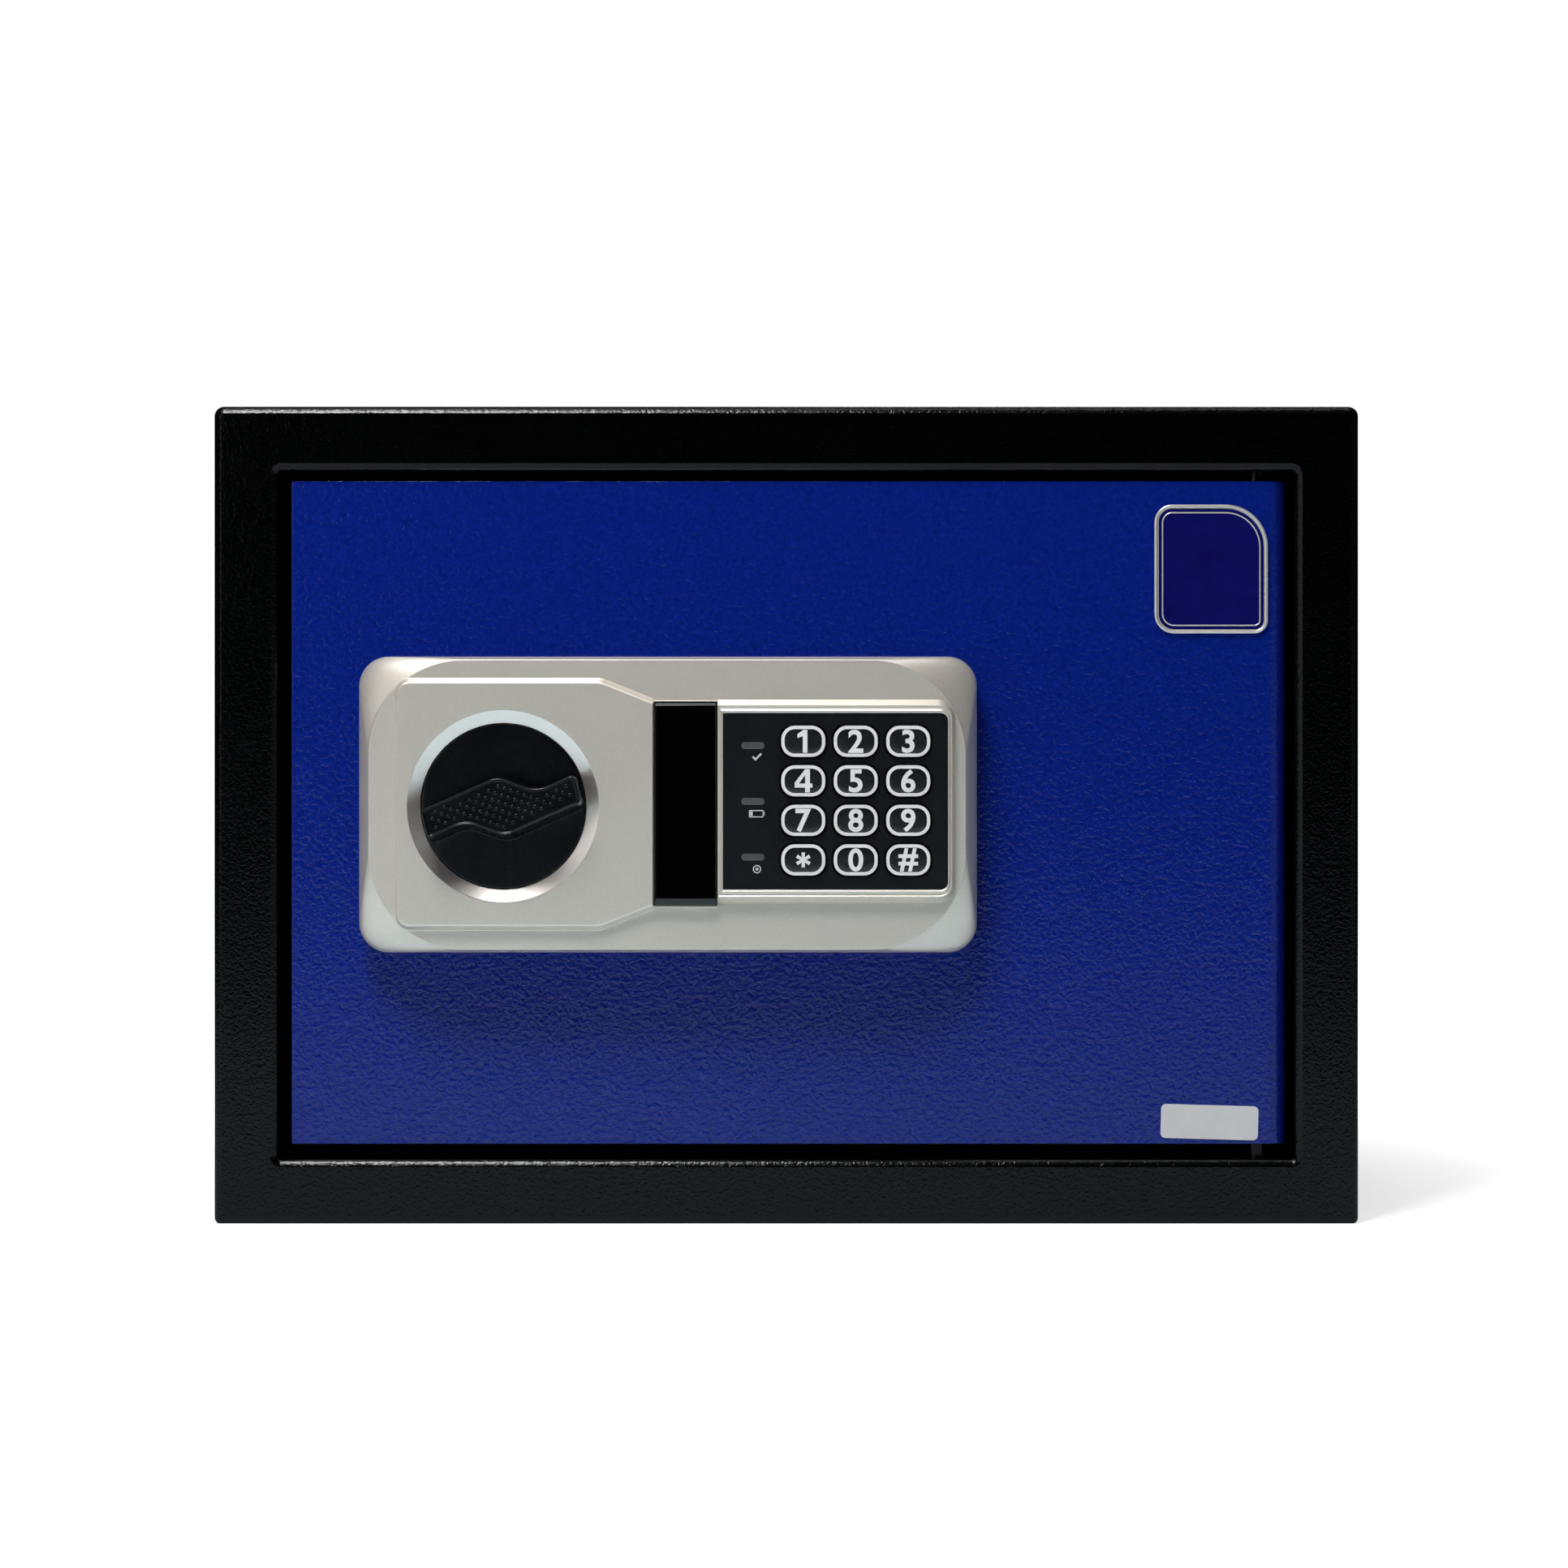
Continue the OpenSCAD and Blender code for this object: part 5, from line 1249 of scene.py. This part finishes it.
def four_shape():
    """Four faces that meet edge to edge and leave the three-cornered window open."""
    points = [(-2.6, -2.05), (0.55, -2.05), (0.55, -0.8), (-1.3, -0.8), (-2.6, -0.8),
              (0.55, 1.75), (0.55, 3.5), (-2.6, -0.55), (0.55, -3.5), (2.0, -3.5), (2.0, -2.05),
              (2.0, -0.8), (2.0, 3.5), (2.75, -2.05), (2.75, -0.8)]
    faces = [[0, 1, 2, 3, 4], [4, 3, 5, 6, 7], [8, 9, 10, 11, 12, 6, 5, 2, 1], [10, 13, 14, 11]]
    return points, faces


def star_shape():
    """Six arms; each gives two outer corners and the notch before the next arm."""
    points = []
    for k in range(6):
        points += turned_by([(-0.55, 2.25), (0.55, 2.25), (0.43, 0.75)], math.radians(-60 * k))
    return points[::-1], [list(range(len(points)))]


def character(text):
    drawn = {"1": one_shape, "4": four_shape, "*": star_shape}
    if text in drawn:
        return drawn[text]()
    return letter_mesh(text, CHARACTER_TALL, CHARACTER_WEIGHT)


print("corners:", {text: len(character(text)[0]) for text in "14*"})

# %% [markdown]
# The print is a thin raised layer, so that it shows from the side as well. Blender can extrude a
# shape in one step, but the order of what it makes then changes from run to run. So the walls are
# put up side by side, one for each side that no other face shares.

# %% Raised print
PRINT = 0.06


def sides_of(face):
    return list(zip(face, face[1:] + face[:1]))


def raised_print(bm, shape, x, z, y, material):
    """Adds a printed shape: its faces in front and behind, and a thin wall round its outline."""
    points, faces = shape
    area = sum(points[a][0] * points[b][1] - points[b][0] * points[a][1]
               for face in faces for a, b in sides_of(face))
    faces = faces if area > 0 else [face[::-1] for face in faces]
    at = [(x + u, z + v) for u, v in points]
    low, high = ring(bm, at, y), ring(bm, at, y - PRINT)
    sides = {side: None for face in faces for side in sides_of(face)}
    made = [bm.faces.new([high[i] for i in face]) for face in faces]
    made += [bm.faces.new([low[i] for i in face[::-1]]) for face in faces]
    made += [bm.faces.new((low[a], low[b], high[b], high[a]))
             for a, b in sides if (b, a) not in sides]
    for f in made:
        f.material_index = material


print("the print stands", PRINT, "mm high")

# %% [markdown]
# The cap is a pill skinned level by level. Its ring is a band of that skin, so the white print
# follows the pill exactly, and the character stands on the sunk middle.

# %% Key caps
KEY_W, KEY_H, KEY_R = 13.9, 10.0, 4.4
KEY_X = (5.1, 20.9, 36.7)
KEY_Z = (147.35, 135.45, 123.55, 111.65)
KEY_NAMES = (("1", "2", "3"), ("4", "5", "6"), ("7", "8", "9"), ("star", "0", "hash"))
SIGNS = {"star": "*", "hash": "#"}
RING_INSIDE = 1.32


def key_cap(name, x, z):
    """The last band of the pill's skin, from its edge to RING_INSIDE, is the white ring."""
    bm = bmesh.new()
    pill = plate(x, z, KEY_W, KEY_H, KEY_R)
    rings = level_rings(bm, pill, 8, (0, -137.3), (0, -141.2), (0.08, -141.5), (0.34, -141.72),
                        (RING_INSIDE, -141.78))
    skin(bm, *rings)
    for f in bm.faces[:][-len(rings[0]):]:
        f.material_index = 1
    fill(bm, rings[0], toward=(0, 1, 0))
    inner = level_rings(bm, pill, 8, (RING_INSIDE, -141.70), (2.0, -141.82), (3.2, -141.86))
    skin(bm, rings[-1], *inner)
    fill(bm, inner[-1])
    raised_print(bm, character(SIGNS.get(name, name)), x, z, -141.84, 1)
    return finish_piece(f"key_cap_{name}", bm, f"key_{name}_cap", "key_black",
                        PLASTIC["key_black"], PLASTIC["key_white"],
                        stands_for=(f"key_{name}",), crease=35)


for row, z in zip(KEY_NAMES, KEY_Z):
    for name, x in zip(row, KEY_X):
        key_cap(name, x, z)


# %% [markdown]
# ## Signs and lamps
# Beside the keys are three small lamp windows, and under each one a printed sign. The signs are
# plain pictures: a tick for open, a battery for low charge, and a ring with a dot for ready. They
# are thin raised shapes like the print on the keys.

# %% Signs
LAMP_X, LAMP_Z = -10.05, (146.05, 129.25, 112.45)
PLATE_Y = -140.7


def sign_ring(x, z, w, h, r, line):
    """A frame of even width, as an outer and an inner outline."""
    inner = plate(x, z, w - 2 * line, h - 2 * line, max(r - line, 0.05))
    return rounded(plate(x, z, w, h, r), 5), rounded(inner, 5)


def printed_frame(bm, outer, inner):
    skin(bm, ring(bm, outer, PLATE_Y), ring(bm, outer, PLATE_Y - PRINT),
         ring(bm, inner, PLATE_Y - PRINT), ring(bm, inner, PLATE_Y))


def signs():
    """A tick, a battery with its cap and its last bit of charge, and a ring with a dot."""
    bm = bmesh.new()
    x = LAMP_X + 1.2
    tick_z, battery_z, ring_z = (z - under for z, under in zip(LAMP_Z, (3.6, 3.7, 3.6)))
    tick = [(-0.45, -0.95, 0.08), (1.5, 1.0, 0.05), (1.1, 1.4, 0.05), (-0.45, -0.15, 0.03),
            (-1.1, 0.5, 0.05), (-1.5, 0.1, 0.05)]
    raised_print(bm, flat_shape(tick), x, tick_z, PLATE_Y, 0)
    printed_frame(bm, *sign_ring(x - 0.2, battery_z, 4.4, 2.2, 0.35, 0.3))
    for low, high, tall in ((2.05, 2.5, 1.0), (-2.0, -1.1, 1.3)):
        block = plate((low + high) / 2, 0, high - low, tall, 0.05)
        raised_print(bm, flat_shape(block), x - 0.2, battery_z, PLATE_Y, 0)
    printed_frame(bm, circle(x, ring_z, 1.25, 32), circle(x, ring_z, 0.92, 32))
    raised_print(bm, (circle(0, 0, 0.45, 20), [list(range(20))]), x, ring_z, PLATE_Y, 0)
    return finish_piece("printed_signs", bm, "door", "key_plate", PLASTIC["sign_grey"])


signs()

# %% [markdown]
# The lamp windows are small clear pills that look dark grey while the lamps are off, so a plain
# rounded form with a little gloss stands for each.

# %% Lamp windows
def lamp_windows():
    bm = bmesh.new()
    for z in LAMP_Z:
        pill = plate(LAMP_X, z, 7.0, 2.1, 1.0)
        rings = level_rings(bm, pill, 8, (0, -138.8), (0, PLATE_Y), (0.05, -140.78),
                            (0.25, -140.84), (0.5, -140.85))
        skin(bm, *rings)
        fill(bm, rings[-1])
        fill(bm, rings[0], toward=(0, 1, 0))
    return finish_piece("lamp_windows", bm, "door", "lamp_lens", PLASTIC["lamp_lens"],
                        stands_for=("led_lenses",))


lamp_windows()

# %% [markdown]
# ## Badge
# The badge is a small metal plate with a thin silver edge and a finer line inside it, round a dark
# blue enamelled field. Its upper right corner is the roundest. The field is left plain.

# %% Badge
BADGE_X, BADGE_Z, BADGE_W, BADGE_H = 130.1, 200.3, 34.8, 39.5


def badge():
    bm = bmesh.new()
    x0, x1 = BADGE_X - BADGE_W / 2, BADGE_X + BADGE_W / 2
    z0, z1 = BADGE_Z - BADGE_H / 2, BADGE_Z + BADGE_H / 2
    shield = [(x1, z0, 4.2), (x1, z1, 13), (x0, z1, 5.5), (x0, z0, 6)]
    rings = level_rings(bm, shield, 10, (0, DOOR_Y), (0, -122.6), (0.1, -122.85), (0.3, -122.97),
                        (0.55, -123.0), (0.75, -122.95), (0.9, -122.8), (1.0, -122.62),
                        (1.3, -122.6))
    skin(bm, *rings)
    for f in fill(bm, rings[-1]):
        f.material_index = 1
    fill(bm, rings[0], toward=(0, 1, 0))
    line = level_rings(bm, shield, 10, (2.3, -122.6), (2.3, -122.8), (2.4, -122.86),
                       (2.6, -122.86), (2.7, -122.8), (2.7, -122.6))
    skin(bm, *line)
    return finish_piece("badge", bm, "door", "badge_metal", BADGE_METAL, PLASTIC["enamel_blue"],
                        stands_for=("badge_plate",))


badge()

# %% [markdown]
# ## Size
# The dressed pieces are drawn to lie within the box of the packed model.
